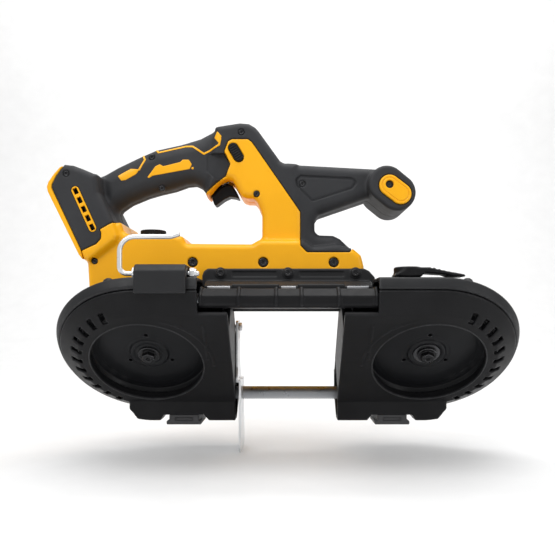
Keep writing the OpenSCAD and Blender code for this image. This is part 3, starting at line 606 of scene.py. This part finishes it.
# ---- wheel deck ----------------------------------------------------------
BLK = [(-57.8, -39.8), (-18, -79.6), (-18, -98), (-14, -98.7), (2, -98.7), (24, -84), (26, -78), (22, -76), (2, -95.6),
       (-14, -95.6), (-15, -78.4), (-56, -37.6)]
blk_sec = soft(BLK, 1.2)
blk_full = soft([(-57.8, -39.8), (-18, -79.6), (-18, -98), (-14, -98.7), (2, -98.7), (24, -84), (26, -78), (-14, -78)], 1.2)
g_round = soft([(-90, 0), (60, 0), (78, -11), (78, -13), (75, -13), (59, -3), (-90, -3)], 1.6)
g_flat = soft([(-54.5, 0.2), (60, 0), (78, -11), (78, -13), (75, -13), (59, -3), (-54.5, -3)], 1.6)
f_round = soft([(80, -13.3), (82.5, -18), (84, -22), (56, -50), (-90, -50), (-90, -46), (54.5, -46), (57, -44.7), (80.2, -21.5), (77, -13.3)], 2)
f_flat = soft([(-70, -50), (56, -50), (84, -22), (82.5, -18), (80, -13.3), (77, -13.3), (80.2, -21.5), (57, -44.7), (54.5, -46), (-70, -46)], 2)
skirt = soft([(26, -52), (32, -54), (30, -82), (26.4, -84.5), (24.5, -79.5), (26, -70)], 1)


def guard(s):
    xw = 47.0 if s > 0 else 50.0
    front = soft([(xw, -20), (150.5, -20), (150.5, -87.3), (142.5, -96.8), (124.3, -99.2), (121.7, -98.8), (118, -92.8),
                  (79.5, -92.8), (74.8, -98.8), (xw, -99)], 1.2)

    def f(x, y, z):
        X = s * x
        u, w = deckc(y, z)
        R = np.hypot(X - 125.5, u)
        A = np.maximum(g_round(R, -w), 125.2 - X)
        B = np.maximum(np.maximum(g_flat(u, -w), X - 125.5), xw - X)
        d = np.minimum(A, B)
        # lower block with its end walls
        blk = np.maximum(blk_sec(y, z), front(X, z))
        wall = np.maximum(blk_full(y, z), front(X, z))
        wall = np.maximum(wall, -np.minimum(np.minimum(X - (xw + 2.6), 147.5 - X), 99.0))
        slot_ = np.maximum(np.maximum(np.abs(y - 1.3) - 2.6, -83 - z), X - 80)
        wall = smax(wall, -slot_, 0.4)
        d = smin(d, np.minimum(blk, wall), 0.8)
        # wall of the round opening
        lip = np.maximum(np.maximum(np.abs(R - 51.2) - 1.1, w - 8.4), 0.4 - w)
        d = smin(d, lip, 1.0)
        d = smax(d, -np.maximum(R - 50.0, w - 12), 0.8)
        # ledge beside the opening and rib next to the throat
        ledge = np.maximum(np.maximum(np.abs(np.hypot(X - 122, u) - 56.2) - 1.0, -w - 0.9), w - 0.2)
        ledge = np.maximum(ledge, np.maximum(X - 108, -u - 2))
        d = smin(d, ledge, 0.8)
        rib = rbox(X, u, w, (70.0, 6, -0.9), (72.2, 49, 1), 0.5)
        d = smin(d, rib, 0.6)
        # outer band canted back from the face
        t = np.where(X > 125.5, np.hypot(X - 125.5, np.maximum(u, 0)), u)
        d = smax(d, np.where(t > 50, (t - 56.5) * 0.055 - w, -9.0), 0.2)
        # vents fanned around the outer end
        th = np.degrees(np.arctan2(u, X - 125.5))
        k = np.clip(np.round((62 - th) / 11.8), 0, 10)
        dl = np.radians(th - (62 - 11.8 * k))
        vent = rbox(R * np.cos(dl), R * np.sin(dl), w, (57.0, -2.6, -6), (66.4, 2.6, 14), 0.5)
        d = smax(d, -vent, 0.5)
        # clear of the bridge
        cut = np.maximum(np.maximum(X - 74.9, 61.5 - u), -20)
        return smax(d, -cut, 0.4)
    lo = (xw - 2, -112, -101) if s > 0 else (-206, -112, -101)
    hi = (206, 30, 26) if s > 0 else (-xw + 2, 30, 26)
    return f, lo, hi


def casting(s):
    xw = 47.0 if s > 0 else 50.0

    def f(x, y, z):
        X = s * x
        u, w = deckc(y, z)
        R = np.hypot(X - 125.5, u)
        A = np.maximum(f_round(R, -w), 125.2 - X)
        B = np.maximum(np.maximum(f_flat(u, -w), X - 125.5), xw - X)
        d = np.minimum(A, B)
        d = np.minimum(d, np.maximum(np.maximum(skirt(y, z), X - 125.5), xw - X))
        d = smin(d, rbox(X, u, w, (xw, -48, 3.4), (xw + 3, 43, 49), 0.8), 1.2)
        # stiffening ribs across the back
        a = np.arctan2(u, X - 125.5)
        fold = np.abs(np.mod(a + math.pi / 12, math.pi / 6) - math.pi / 12) * R
        ribs = np.maximum(np.maximum(fold - 1.3, w - 51.8), np.maximum(49 - w, np.maximum(R - 50, 22 - R)))
        ring = np.maximum(np.abs(R - 22) - 1.6, np.maximum(w - 52, 49 - w))
        d = smin(d, np.minimum(ribs, ring), 1.0)
        for u0 in (66, -66):
            d = smin(d, rext(np.hypot(X - 153.5, u - u0) - 5, w, 27.7, 36, 0.8), 1.0)
        # room for the guard's block, the hook and the bridge
        env = np.maximum(blk_full(y, z) - 0.6, np.maximum(X - 151, 46 - X))
        d = np.maximum(d, -env)
        if s < 0:
            hk = np.hypot(y + 92, z - 36.3)
            d = np.maximum(d, -np.maximum(hk - 5.8, np.maximum(-X + 125.8, X - 130.6)))
            d = np.maximum(d, -np.maximum(hk - 5.4, np.maximum(-X + 74, X - 83)))
            d = np.maximum(d, -np.maximum(hk - 2.5, X - 136))
        br = np.maximum(np.maximum(X - 75, 24.2 - z), np.maximum(y + 20, -80))
        br2 = np.maximum(np.maximum(X - 75, 6 - z), y + 72)
        d = np.maximum(d, -np.minimum(br, br2))
        run = np.maximum(np.abs(y - 1.3) - 3, np.maximum(np.abs(z + 75.8) - 12, X - 80))
        run2 = np.maximum(R - 66, np.maximum(9 - w, w - 27))
        return np.maximum(np.maximum(d, -run), -run2)
    lo = (xw - 2, -112, -92) if s > 0 else (-212, -112, -92)
    hi = (212, 46, 37) if s > 0 else (-xw + 2, 46, 37)
    return f, lo, hi


for s_, nm in ((-1, "left"), (1, "right")):
    f_, lo, hi = guard(s_)
    piece("guard_shell_" + nm, "root", ["guard_" + nm], M_BLK, f_, lo, hi, 1.05)
    made("guard_rim_" + nm, "root", ["guard_" + nm], M_DECK,
         [lathe([(49.8, -1.4), (51.2, -1.4), (51.2, 0.2), (50.9, 0.5), (50.2, 0.5), (49.9, 0.2)],
                lambda V, s=s_: on_deck(V, s * 125.5, 0, 0), 128)])
    f_, lo, hi = casting(s_)
    piece("deck_casting_" + nm, "root", ["deck_frame"], M_DECK, f_, lo, hi, 1.35)


def midframe(x, y, z):
    u, w = deckc(y, z)
    d = rbox(x, u, w, (-51, 22, 44), (48, 43, 50), 1)
    d = np.minimum(d, rbox(x, y, z, (-51, -71.8, 7.5), (48, -36, 9.8), 0.8))
    for x0 in (-78, 58):
        d = np.minimum(d, np.maximum(seat(y, z), np.abs(x - x0 - 10) - 10))
    d = np.minimum(d, rext(np.hypot(x - 101, y + 85) - 9, z, 30, 33.2, 0.5))
    d = np.minimum(d, rext(np.hypot(x - 101, y + 85) - 2.95, z, 30, 40.4, 0.3))
    for x0, s in ((-125.5, -1), (125.5, 1)):
        R = np.hypot(x - x0, u)
        d = np.maximum(d, -np.maximum(R - 66, np.maximum(9 - w, w - 27)))
    return d


seat = soft([(-13, -54), (24, -54), (22, -49), (12, -42), (6, -45), (-13, -49)], 0.8)
piece("deck_bridge", "root", ["deck_frame"], M_DECK, midframe, (-80, -96, -56), (112, 26, 42), 1.1)


# ---- band wheels ---------------------------------------------------------
w_prof = soft([(6.02, -12), (11.2, -12), (11.8, -12.9), (12.9, -12.9), (13.5, -12), (16.4, -12), (18, -14.2), (34, -14.4), (52, -15.2),
               (54.3, -11), (60.4, -11), (60.4, -25.5), (54, -25.5), (52, -18.6), (17, -18.6), (16.5, -25.8), (6.02, -25.8)], 0.8)


def wheel(x0):
    def f(x, y, z):
        u, w = deckc(y, z)
        R = np.hypot(x - x0, u)
        d = w_prof(R, -w)
        # shallow turned rings on the web
        d = d + 0.18 * np.exp(-((R - 46) / 0.8) ** 2) + 0.18 * np.exp(-((R - 20.5) / 0.7) ** 2)
        for a in (90, 210, 330):
            t = math.radians(a)
            d = smax(d, 1.7 - np.hypot(x - x0 - 22 * math.cos(t), u - 22 * math.sin(t)), 0.5)
        if x0 > 0:
            d = np.maximum(d, -np.maximum(R - 12, w - 23.5))
            d = np.maximum(d, 7.5 - R)
        return d
    return f


for x0, nm, bd in ((-125.5, "drive", "drive_train"), (125.5, "idler", "idler")):
    piece(nm + "_wheel_disc", bd, [nm + "_wheel"], M_WHEEL, wheel(x0), (x0 - 63, -96, -80), (x0 + 63, 6, 22), 0.95)
    pr = rounded([(60.4, -11.2), (62.9, -11.4), (62.9, -25), (60.4, -25.3)], 0.8)
    made(nm + "_tyre_ring", bd, [nm + "_tyre"], M_TYRE, [lathe(pr, lambda V, c=x0: on_deck(V, c, 0, 0), 160)])

    def boltf(x, y, z):
        hexd = np.maximum(np.maximum(np.abs(x), np.abs(x * 0.5 + y * 0.8660)), np.abs(x * 0.5 - y * 0.8660)) - 5.6
        d = rext(hexd, z, 0, 4.7, 0.3)
        d = smax(d, np.hypot(x, y) - 6.35 + 0.5 * np.maximum(z - 3.2, 0) ** 2, 0.3)
        d = smin(d, rext(np.hypot(x, y) - (9.8 if x0 < 0 else 8.8), z, -1.6, 0.05, 0.4), 0.4)
        return smax(d, -np.maximum(np.hypot(x, y) - 2.2, 3.2 - z), 0.4)
    V, F = solid(boltf, (-11, -11, -2.4), (11, 11, 5.6), 0.4)
    made(nm + "_bolt_head", bd if x0 < 0 else "tension_slide", [nm + "_wheel_bolt"], M_SCREW, [(on_deck(V, x0, 0, 10.2), F)])

# ---- bridge, flange and lever --------------------------------------------
br_sec = soft([(-95, 7.5), (-97.2, 10), (-97.2, 17.5), (-90, 24), (-64, 24), (-64, 21.5), (-89, 21.5), (-94.7, 16.5), (-94.7, 9.9),
               (-72, 9.9), (-72, 7.5)], 0.9)
rib_sec = soft([(-94, 8), (-98.6, 9.6), (-98.6, 17.8), (-90, 25.4), (-68, 25.4), (-66, 22.5), (-89, 22.4), (-95.4, 17)], 0.9)


def bridge(x, y, z):
    d = np.maximum(br_sec(y, z), np.maximum(-74.2 - x, x - 75.2))
    for x0 in (-72.8, -41, -9.8, 11.3, 42.3, 73.8):
        d = smin(d, smax(rib_sec(y, z), np.abs(x - x0) - 1.15, 0.4), 0.7)
    # sunk fields between the ribs
    for a, b in ((-70, -43.5), (-38.5, -12.3), (13.8, 40), (44.8, 71.3)):
        d = smax(d, -rbox(x, y, z, (a, -100, 10.6), (b, -96.6, 16.6), 0.4), 0.5)
    return d


piece("bridge_shell", "root", ["bridge_cover"], M_BLK, bridge, (-77, -101, 5), (78, -62, 28), 0.7)

fl_front = soft([(-77.4, 42), (-74, 44.6), (70, 44.6), (74.5, 42.5), (80, 36.5), (80, 24), (-79, 24), (-79, 38)], 1.5)
fl_lip = soft([(-34, 34), (-38, 33), (-52, 31.8), (-62, 27.4), (-62, 24.4), (-34, 24.4)], 1.2)


def flange(x, y, z):
    d = rext(fl_front(x, z), y, -38, -32.1, 1.4)
    lip = smax(fl_lip(y, z), np.maximum(-74 - x, x - 75), 0.8)
    d = smin(d, lip, 1.6)
    for a, b in ((-49.5, -8), (9, 50)):
        d = smax(d, -rbox(x, y, z, (a, -64, 20), (b, -58.6, 40), 1), 0.6)
    # raised bosses round the screws and a shallow web between them
    for x0 in (-62, 0, 62):
        q = np.hypot(x - x0, z - 40.5)
        d = smin(d, rext(q - 5.2, y, -38.6, -36, 0.4), 0.5)
        d = np.maximum(d, 2.1 - q)
    for a, b in ((-52, -10), (10, 52)):
        d = smax(d, -rbox(x, y, z, (a, -40, 36.5), (b, -37.3, 42.3), 1.4), 0.5)
    return d


piece("flange_casting", "root", ["flange_bracket"], M_DECK, flange, (-82, -65, 22), (83, -30, 47), 0.85)
strips = []
for a, b in ((-71.4, -51), (-6, 7), (52, 71.4)):
    strips.append(solid(lambda x, y, z, a=a, b=b: rbox(x, y, z, (a, -62.5, 24.8), (b, -61.6, 27.2), 0.3), (a - 1, -63.5, 24), (b + 1, -60.5, 28.2), 0.35))
made("hinge_strips", "root", [], M_STEEL, strips)
screws("flange_screw_heads", "root", ["flange_screws"], M_SCREW, [(x0, -38.1, 40.5) for x0 in (-62, 0, 62)], 3.9, 2.2, 1.9, 1.4,
       lambda V, x, y, z: on_y(V, x, y, z), (1.9, 5))
SEAT = (-35.6, -15.6, -13.8, -21.6, -21.6, -29.6, -19.2)  # how deep each head sits below its own face
screws("body_screws", "root", ["housing_screws"], M_SCREW, [(p[0], q, p[1]) for p, q in zip(SCREWS, SEAT)], 2.95, 2.2, 1.6, 1.3,
       lambda V, x, y, z: on_y(V, x, y, z), (1.4, 14))
screws("deck_bolts", "root", ["bracket_screws"], M_SCREW, [(p[0], -28.9, p[1]) for p in BIG], 4.4, 2.6, 2.1, 1.7,
       lambda V, x, y, z: on_y(V, x, y, z), (1.9, 11))
GS = [(s * a, u, w) for s in (-1, 1) for a, u, w in ((58, 30, 50), (153.5, 66, 36), (153.5, -66, 36))]
screws("guard_fixings", "root", ["guard_screws"], M_SCREW, GS, 3.3, 2.0, 1.6, 1.2,
       lambda V, x, u, w: undeck(V[:, 0] + x, V[:, 1] + u, w + V[:, 2]), (1.4, 18))
screws("end_cap_screw", "root", [], M_SCREW, [(93.6, -33.6, 122.3)], 3.3, 1.6, 1.6, 1.1,
       lambda V, x, y, z: on_y(V, x, y, z), (1.3, 10))

lev_pts = soft([(88.6, 33.8), (90, 36.4), (99.4, 41.4), (120, 41.5), (133, 38.2), (147, 35.6), (148, 33.7), (136, 33.6), (131, 35.6), (114, 36.6),
                (111, 33.6)], 1.2)


def lever(x, y, z):
    d = rext(lev_pts(x, z), y, -96, -74, 2.2)
    d = smin(d, rext(np.hypot(x - 101, y + 85) - 11.5, z, 33.6, 42.1, 1.6), 1.5)
    grip_ = np.abs(np.mod(x - 118, 4) - 2) - 1.1
    d = smax(d, -np.maximum(np.maximum(grip_, np.abs(x - 128) - 9), (40.6 - 0.19 * (x - 120)) - z), 0.5)
    return np.maximum(d, -np.maximum(np.hypot(x - 101, y + 85) - 3.05, z - 40.7))


piece("lever_moulding", "tension_lever", ["tension_lever"], M_BLK, lever, (86, -99, 31), (150, -71, 44.5), 0.6)


# ---- hook ----------------------------------------------------------------
def arc(cx, cz, r, a0, a1, n=18):
    return [(cx + r * math.cos(math.radians(a)), -92, cz + r * math.sin(math.radians(a))) for a in np.linspace(a0, a1, n)]


wire = [(-75, -92, 36.3), (-100, -92, 36.3)] + arc(-134.7, 42.3, 6, 270, 180) + [(-140.7, -92, 48)]
wire += arc(-128.1, 54.5, 12.6, 180, 90) + [(-112, -92, 67.1)] + arc(-99.8, 79.1, 12, 270, 288)
c18, s18 = math.cos(math.radians(18)), math.sin(math.radians(18))
wire += [(-99.8 + 12 * s18 + 5 * c18, -92, 79.1 - 12 * c18 + 5 * s18)]
pr = rounded([(2.0, -129.6), (5.4, -129.6), (5.4, -126.4), (2.0, -126.4)], 0.5)
put_x = lambda V: np.stack([V[:, 2], V[:, 0] - 92, V[:, 1] + 36.3], 1)
made("hook_wire_bent", "hook", ["hook_wire"], M_ZINC, [tube(wire, 2.1, 24), lathe(pr, put_x, 48)])


def nutf(x, y, z):
    q = np.maximum(np.maximum(np.abs(y), np.abs(y * 0.5 + z * 0.8660)), np.abs(y * 0.5 - z * 0.8660)) - 4.3
    d = rext(q, x, 0, 4.0, 0.25)
    d = smax(d, np.hypot(y, z) - 4.9 + 0.8 * np.maximum(0.7 - x, 0), 0.2)
    d = smin(d, rext(np.hypot(y, z) - 3.9, x, 3.6, 5.6, 0.5), 0.2)
    return smax(d, 2.05 - np.hypot(y, z), 0.2)


V, F = solid(nutf, (-0.6, -5.6, -5.6), (6.3, 5.6, 5.6), 0.3)
made("hook_lock_nut", "hook", ["hook_nut"], M_ZINC, [(V + np.array([-82.0, -92, 36.3]), F)])
bl = soft([(-108, 19), (-108, 38), (-103, 43.3), (-80, 43.3), (-76, 40), (-76, 33.6), (-100.4, 33.6), (-101.0, 31.5), (-104.2, 19)], 2.2)


def barrel(x, y, z):
    d = rext(bl(y, z), x, -126, -83.3, 1.6)
    d = smax(d, 2.16 - np.hypot(y + 92, z - 36.3), 0.2)
    for x0 in (-126, -83.3):
        d = smax(d, -np.maximum(np.abs(np.hypot(y + 92, z - 36.3) - 4.4) - 0.5, np.abs(x - x0) - 0.5), 0.3)
    return d


piece("hook_mount", "root", ["hook_barrel"], M_DECK, barrel, (-128, -110, 17), (-81, -74, 46), 0.7)


# ---- trigger, button, dial ------------------------------------------------
tg = soft([(-74, 116.6), (-71.4, 108.6), (-69.4, 107.6), (-62, 113.2), (-56, 116.2), (-51, 115.6), (-46.2, 113.8), (-49.4, 120.6),
           (-53.4, 126.8), (-57.8, 128.6), (-65.2, 125.4)], 1.6)


def trigger(x, y, z):
    d = rext(tg(x, z), y, -8.5, 8.5, 2.4)
    # shallow finger ribs
    d = d + 0.22 * np.maximum(0, np.sin((x * 0.85 - z * 0.5) * 2.4)) * (np.abs(y) < 5.4)
    return np.maximum(d, -np.maximum(np.hypot(x + 61, y) - 3.9, 119.5 - z))


piece("trigger_moulding", "trigger", ["trigger"], M_BLK, trigger, (-76, -10, 103), (-42, 10, 130), 0.5)
bt = bar((-51.5, 159), (-46.4, 150.5), 4.5)


def button(x, y, z):
    d = rext(bt(x, z), y, -25.4, -10.5, 1.3)
    a = (x + 51.5) * 0.5145 - (z - 159) * 0.8575
    return smax(d, -np.maximum(np.abs(np.mod(a + 1.0, 2.2) - 1.1) - 0.42, np.maximum(y + 24.9, bt(x, z) + 1.1)), 0.35)


piece("button_moulding", "lock_button", ["lock_button"], M_BLK, button, (-58, -27, 144), (-40, -9, 166), 0.4)


def dial(x, y, z):
    a = np.arctan2(y, x + 131.4)
    r = np.hypot(x + 131.4, y)
    d = rext(r - 12.05 - 0.25 * np.cos(30 * a), z, 72.8, 84.2, 1.0)
    d = smax(d, -np.maximum(r - 9.4, 83.6 - z), 0.4)
    mark = rbox(x + 131.4, y, z, (-0.7, -8.2, 80), (0.7, -2.5, 83.9), 0.3)
    d = smin(d, mark, 0.3)
    return smin(d, rext(r - 3, z, 62, 73, 0.3), 0.3)


piece("dial_moulding", "speed_dial", ["speed_dial"], M_BLK, dial, (-146, -14, 60), (-117, 14, 86), 0.5)

# ---- handle end, feet, battery end ----------------------------------------
capb = bar((93.7, 121.6), (104.2, 113.6), 9.6)


def endcap(x, y, z):
    c = capb(x, z)
    d = rext(c, y, -37.3, -32.6, 1.3)
    d = smax(d, -np.maximum(np.abs(c + 2.7) - 0.4, y + 36.7), 0.3)
    q = np.hypot(x - 93.6, z - 122.3)
    d = smin(d, rext(q - 5.3, y, -37.4, -34, 0.5), 0.3)
    return smax(d, 3.7 - q, 0.4)


piece("end_cap", "root", ["handle_end_cap"], M_YEL, endcap, (82, -39, 102), (115, -31, 133), 0.45)


def feet(x, y, z):
    out = None
    for c in (-99, 99):
        X = x - c
        d = rbox(X, y, z, (-16.5, -17.5, -102.2), (16.5, 20, -98.6), 0.9)
        d = smin(d, rbox(X, y, z, (-14, -16.8, -99), (14, 19, -92.8), 0.6), 1.0)
        d = smax(d, -rbox(X, y, z, (-8.5, -19, -98.4), (8.5, -15.4, -95.4), 0.5), 0.4)
        for k in range(-3, 4):
            d = smax(d, -np.maximum(np.abs(y - 1.2 - k * 4.6) - 0.7, np.maximum(z + 101.5, np.abs(X) - 14.5)), 0.3)
        out = d if out is None else np.minimum(out, d)
    return out


piece("foot_blocks", "root", ["foot_pads"], M_PAD, feet, (-118, -20, -104), (118, 22, -91), 0.75)

rl = soft([(-207.2, 139), (-209.5, 138.4), (-215.5, 131.8), (-220.5, 124.5), (-222, 120), (-221.2, 115.5), (-192.4, 57), (-188.3, 52.4), (-189.2, 55), (-190.8, 62),
           (-217.4, 118.5), (-217.4, 121.7), (-213.3, 129.8), (-207.7, 137.6)], 0.5)
rl_g = poly([(-230, 123), (-221, 123), (-192, 60), (-200, 52), (-230, 52)])
rl_w = poly([(-221.6, 110), (-214.5, 113), (-199, 80), (-206, 77)])


def rail(x, y, z):
    d = rext(rl(x, z), y, -37.5, 37.5, 1.0)
    d = smax(d, -np.maximum(rl_g(x, z), np.abs(np.abs(y) - 26.5) - 4.5), 0.4)
    return smax(d, -np.maximum(rl_w(x, z), np.abs(y) - 14), 0.4)


piece("rail_moulding", "root", ["battery_rail"], M_YEL, rail, (-225, -40, 50), (-186, 40, 142), 0.8)


# trim frame and five black slots in the window of the battery end
def winframe(x, y, z):
    c = bar((-195.5, 116.5), (-179.7, 81.7), 3.5)(x, z)
    d = rext(c, y, -38.3, -35.6, 0.5)
    a = (x + 187.6) * 0.414 - (z - 99.1) * 0.910
    b = (x + 187.6) * 0.910 + (z - 99.1) * 0.414
    a = np.abs(a - 9.1 * np.clip(np.round(a / 9.1), -2, 2)) - 3.0
    q = smax(a, np.abs(b) - 2.0, 0.5)
    return smax(d, -q, 0.3)


piece("window_trim", "root", [], M_YEL, winframe, (-201, -39.5, 76), (-174, -34.5, 122), 0.36)


# ---- work stop -------------------------------------------------------------
st_x = soft([(-49.6, -2), (-47.4, -2), (-47.4, -59.8), (-44.4, -59.8), (-44.4, -130), (-46.6, -130), (-46.6, -62), (-49.6, -62)], 0.9)
st_y = soft([(-17, -3.5), (11, -3.5), (11, -46), (26, -57), (26, -124), (22, -128.4), (-18, -128.4), (-22, -124), (-22, -57), (-17, -48)], 2.5)


def stop(x, y, z):
    d = smax(st_x(x, z), st_y(y, z), 0.4)
    d = smax(d, -(np.maximum(np.abs(y - 1.28) - 3, np.abs(z + 76) - 18)), 0.4)
    for y0 in (-10, 4):
        d = smax(d, -bar((y0, -19.3), (y0, -9.4), 2.25)(y, z), 0.3)
    for z0 in (-113, -119):
        d = smax(d, 1.5 - np.hypot(y - 16, z - z0 - 0 * x), 0.3) if z0 == -119 else d
    return d


piece("stop_plate", "work_stop", ["work_stop"], M_ZINC, stop, (-51, -24, -130), (-43, 28, -2), 0.62)
V, F = solid(screw_head(4, 2.1, 1.8, 1.2), (-5, -5, -0.6), (5, 5, 2.8), 0.3)
a_ = np.linspace(0, 2 * math.pi, 25)[:-1]
shaft = lathe([(0.01, 0.2), (1.95, 0.2), (1.95, -5.3), (0.01, -5.3)], lambda v: v, 32)
parts = []
for y0 in (-10, 4):
    for v, f in ((V, F), shaft):
        parts.append((np.stack([-47.1 + v[:, 2], y0 + v[:, 0], -9.4 + v[:, 1]], 1), f))
made("stop_screws", "root", ["work_stop_screws"], M_STEEL, parts)


# ---- saw band --------------------------------------------------------------
def band():
    by, bz = -56 + 0.70711 * (18 + 63 + 0.25), -42 + 0.70711 * (18 - 63.25)
    R = 63.25
    pts, wd = [], []
    dw = np.array([0, C45, C45])
    up = np.array([0.0, 0.0, 1.0])

    def dk(x, u):
        return np.array([x, -56 - C45 * u + C45 * 18, -42 + C45 * u + C45 * 18])
    step = 0.6
    for x in np.arange(-75.5, 75.5, step):
        pts.append((x, by, bz))
        wd.append(up)
    for x in np.arange(75.5, 116, step):
        t = (x - 75.5) / 40.5
        a = math.radians(45) * t
        pts.append((x, by, bz))
        wd.append(np.array([0, math.sin(a), math.cos(a)]))
    for x in np.arange(116, 125.5, step):
        pts.append(dk(x, -R))
        wd.append(dw)
    for a in np.arange(-90, 90, math.degrees(step / R)):
        pts.append(dk(125.5 + R * math.cos(math.radians(a)), R * math.sin(math.radians(a))))
        wd.append(dw)
    for x in np.arange(125.5, -125.5, -step):
        pts.append(dk(x, R))
        wd.append(dw)
    for a in np.arange(90, 270, math.degrees(step / R)):
        pts.append(dk(-125.5 + R * math.cos(math.radians(a)), R * math.sin(math.radians(a))))
        wd.append(dw)
    for x in np.arange(-125.5, -116, step):
        pts.append(dk(x, -R))
        wd.append(dw)
    for x in np.arange(-116, -75.5, step):
        t = (-75.5 - x) / 40.5
        a = math.radians(45) * t
        pts.append((x, by, bz))
        wd.append(np.array([0, math.sin(a), math.cos(a)]))
    P, W = np.array(pts), np.array(wd)
    n = len(P) // 3 * 3
    P, W = P[:n], W[:n]
    T = np.roll(P, -1, 0) - np.roll(P, 1, 0)
    T /= np.linalg.norm(T, axis=1)[:, None]
    N = np.cross(T, W)
    N /= np.linalg.norm(N, axis=1)[:, None]
    k = np.arange(n) % 3
    tip = np.where(k == 0, 6.35, np.where(k == 1, 5.5, 5.85))[:, None]
    sets = (np.array([0, 0.12, -0.12])[(np.arange(n) // 3) % 3])[:, None] * (k == 0)[:, None]
    h = 0.25
    rows = [P + W * 6.35 + N * h, P + W * 6.35 - N * h, P - W * 5.0 - N * h, P - W * tip - N * (h - sets), P - W * tip + N * (h + sets), P - W * 5.0 + N * h]
    V = np.stack(rows, 1).reshape(-1, 3)
    i = np.arange(n)
    j = (i + 1) % n
    F = np.concatenate([np.stack([i * 6 + a, j * 6 + a, j * 6 + (a + 1) % 6, i * 6 + (a + 1) % 6], 1) for a in range(6)])
    return V, F


made("saw_band", "root", ["blade"], M_BLADE, [band()])
# darker copy of the steel for the idler bearing: painted shade
M_SHADE = material("steel_painted_shade", (0.10, 0.10, 0.105), (0.14, 0.14, 0.145), 0.42, metal=1.0, bump=0.2, grain=600)
NODE_LOOK = {"steel": M_STEEL, "castalu": M_CAST, "copper": M_COPPER, "board": M_BOARD, "black": M_BLK, "zinc": M_ZINC,
             "screw_black": M_SCREW, "black_metal": M_WHEEL, "blued": M_BLADE, "yellow": M_YEL, "softgrip": M_RUB, "tyre": M_TYRE}
for nm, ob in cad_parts.items():
    for k, m in enumerate(ob.data.materials):
        base = (m.name if m else "").split(".")[0]
        if base in NODE_LOOK:
            # the idler bearing takes the darkened steel, painted shade in place of its real finish
            ob.data.materials[k] = M_SHADE if nm == "idler_bearing" else NODE_LOOK[base]


# ---- camera, floor and light ---------------------------------------------
def stage_set():
    n, pts = 24, []
    prof = [(-3.0, 0.0), (0.9, 0.0)] + [(0.9 + 0.9 * math.sin(a), 0.9 - 0.9 * math.cos(a)) for a in np.linspace(0.05, math.pi / 2, 20)] + [(1.8, 4.0)]
    V = [(x, y, z - 0.0004) for x in (-4.0, 4.0) for y, z in prof]
    k = len(prof)
    F = [(i, i + k, i + k + 1, i + 1) for i in range(k - 1)]
    ob = mesh("floor", V, F, metric=True)
    m = material("floor_paint", (0.80, 0.80, 0.80), (0.83, 0.83, 0.83), 0.55, bump=0.05, grain=300)
    ob.data.materials.append(m)
    sc = bpy.context.scene
    w = bpy.data.worlds.new("studio")
    sc.world = w
    w.use_nodes = True
    w.node_tree.nodes["Background"].inputs[0].default_value = (1, 1, 1, 1)
    w.node_tree.nodes["Background"].inputs[1].default_value = 0.5

    def lamp(name, at, aim, size, power):
        d = bpy.data.lights.new(name, "AREA")
        d.shape = "RECTANGLE"
        d.size, d.size_y = size
        d.energy = power
        o = bpy.data.objects.new(name, d)
        sc.collection.objects.link(o)
        v = np.array(aim) - np.array(at)
        from mathutils import Vector
        o.rotation_euler = Vector(v).to_track_quat("-Z", "Y").to_euler()
        o.location = at
        return o
    lamp("key", (-0.75, -1.1, 1.25), (0, 0, 0.12), (0.9, 0.7), 11)
    lamp("top", (0.1, -0.15, 1.5), (0, 0, 0.1), (1.3, 0.9), 13)
    lamp("fill", (1.3, -0.9, 0.45), (0.05, 0, 0.13), (0.6, 1.0), 4)
    lamp("sweep", (0.0, 0.75, 1.9), (0, 1.6, 0.9), (2.6, 0.5), 20)
    cam = bpy.data.cameras.new("view")
    cam.sensor_width = 36
    cam.lens = 36 * 650 / 555
    cam.shift_x, cam.shift_y = -10.5 / 555, 39.5 / 555
    co = bpy.data.objects.new("view", cam)
    sc.collection.objects.link(co)
    co.location = (0.00675, -0.602, 0.1284)
    co.rotation_euler = (math.pi / 2, 0, 0)
    sc.camera = co
    sc.view_settings.view_transform = "Standard"


stage_set()
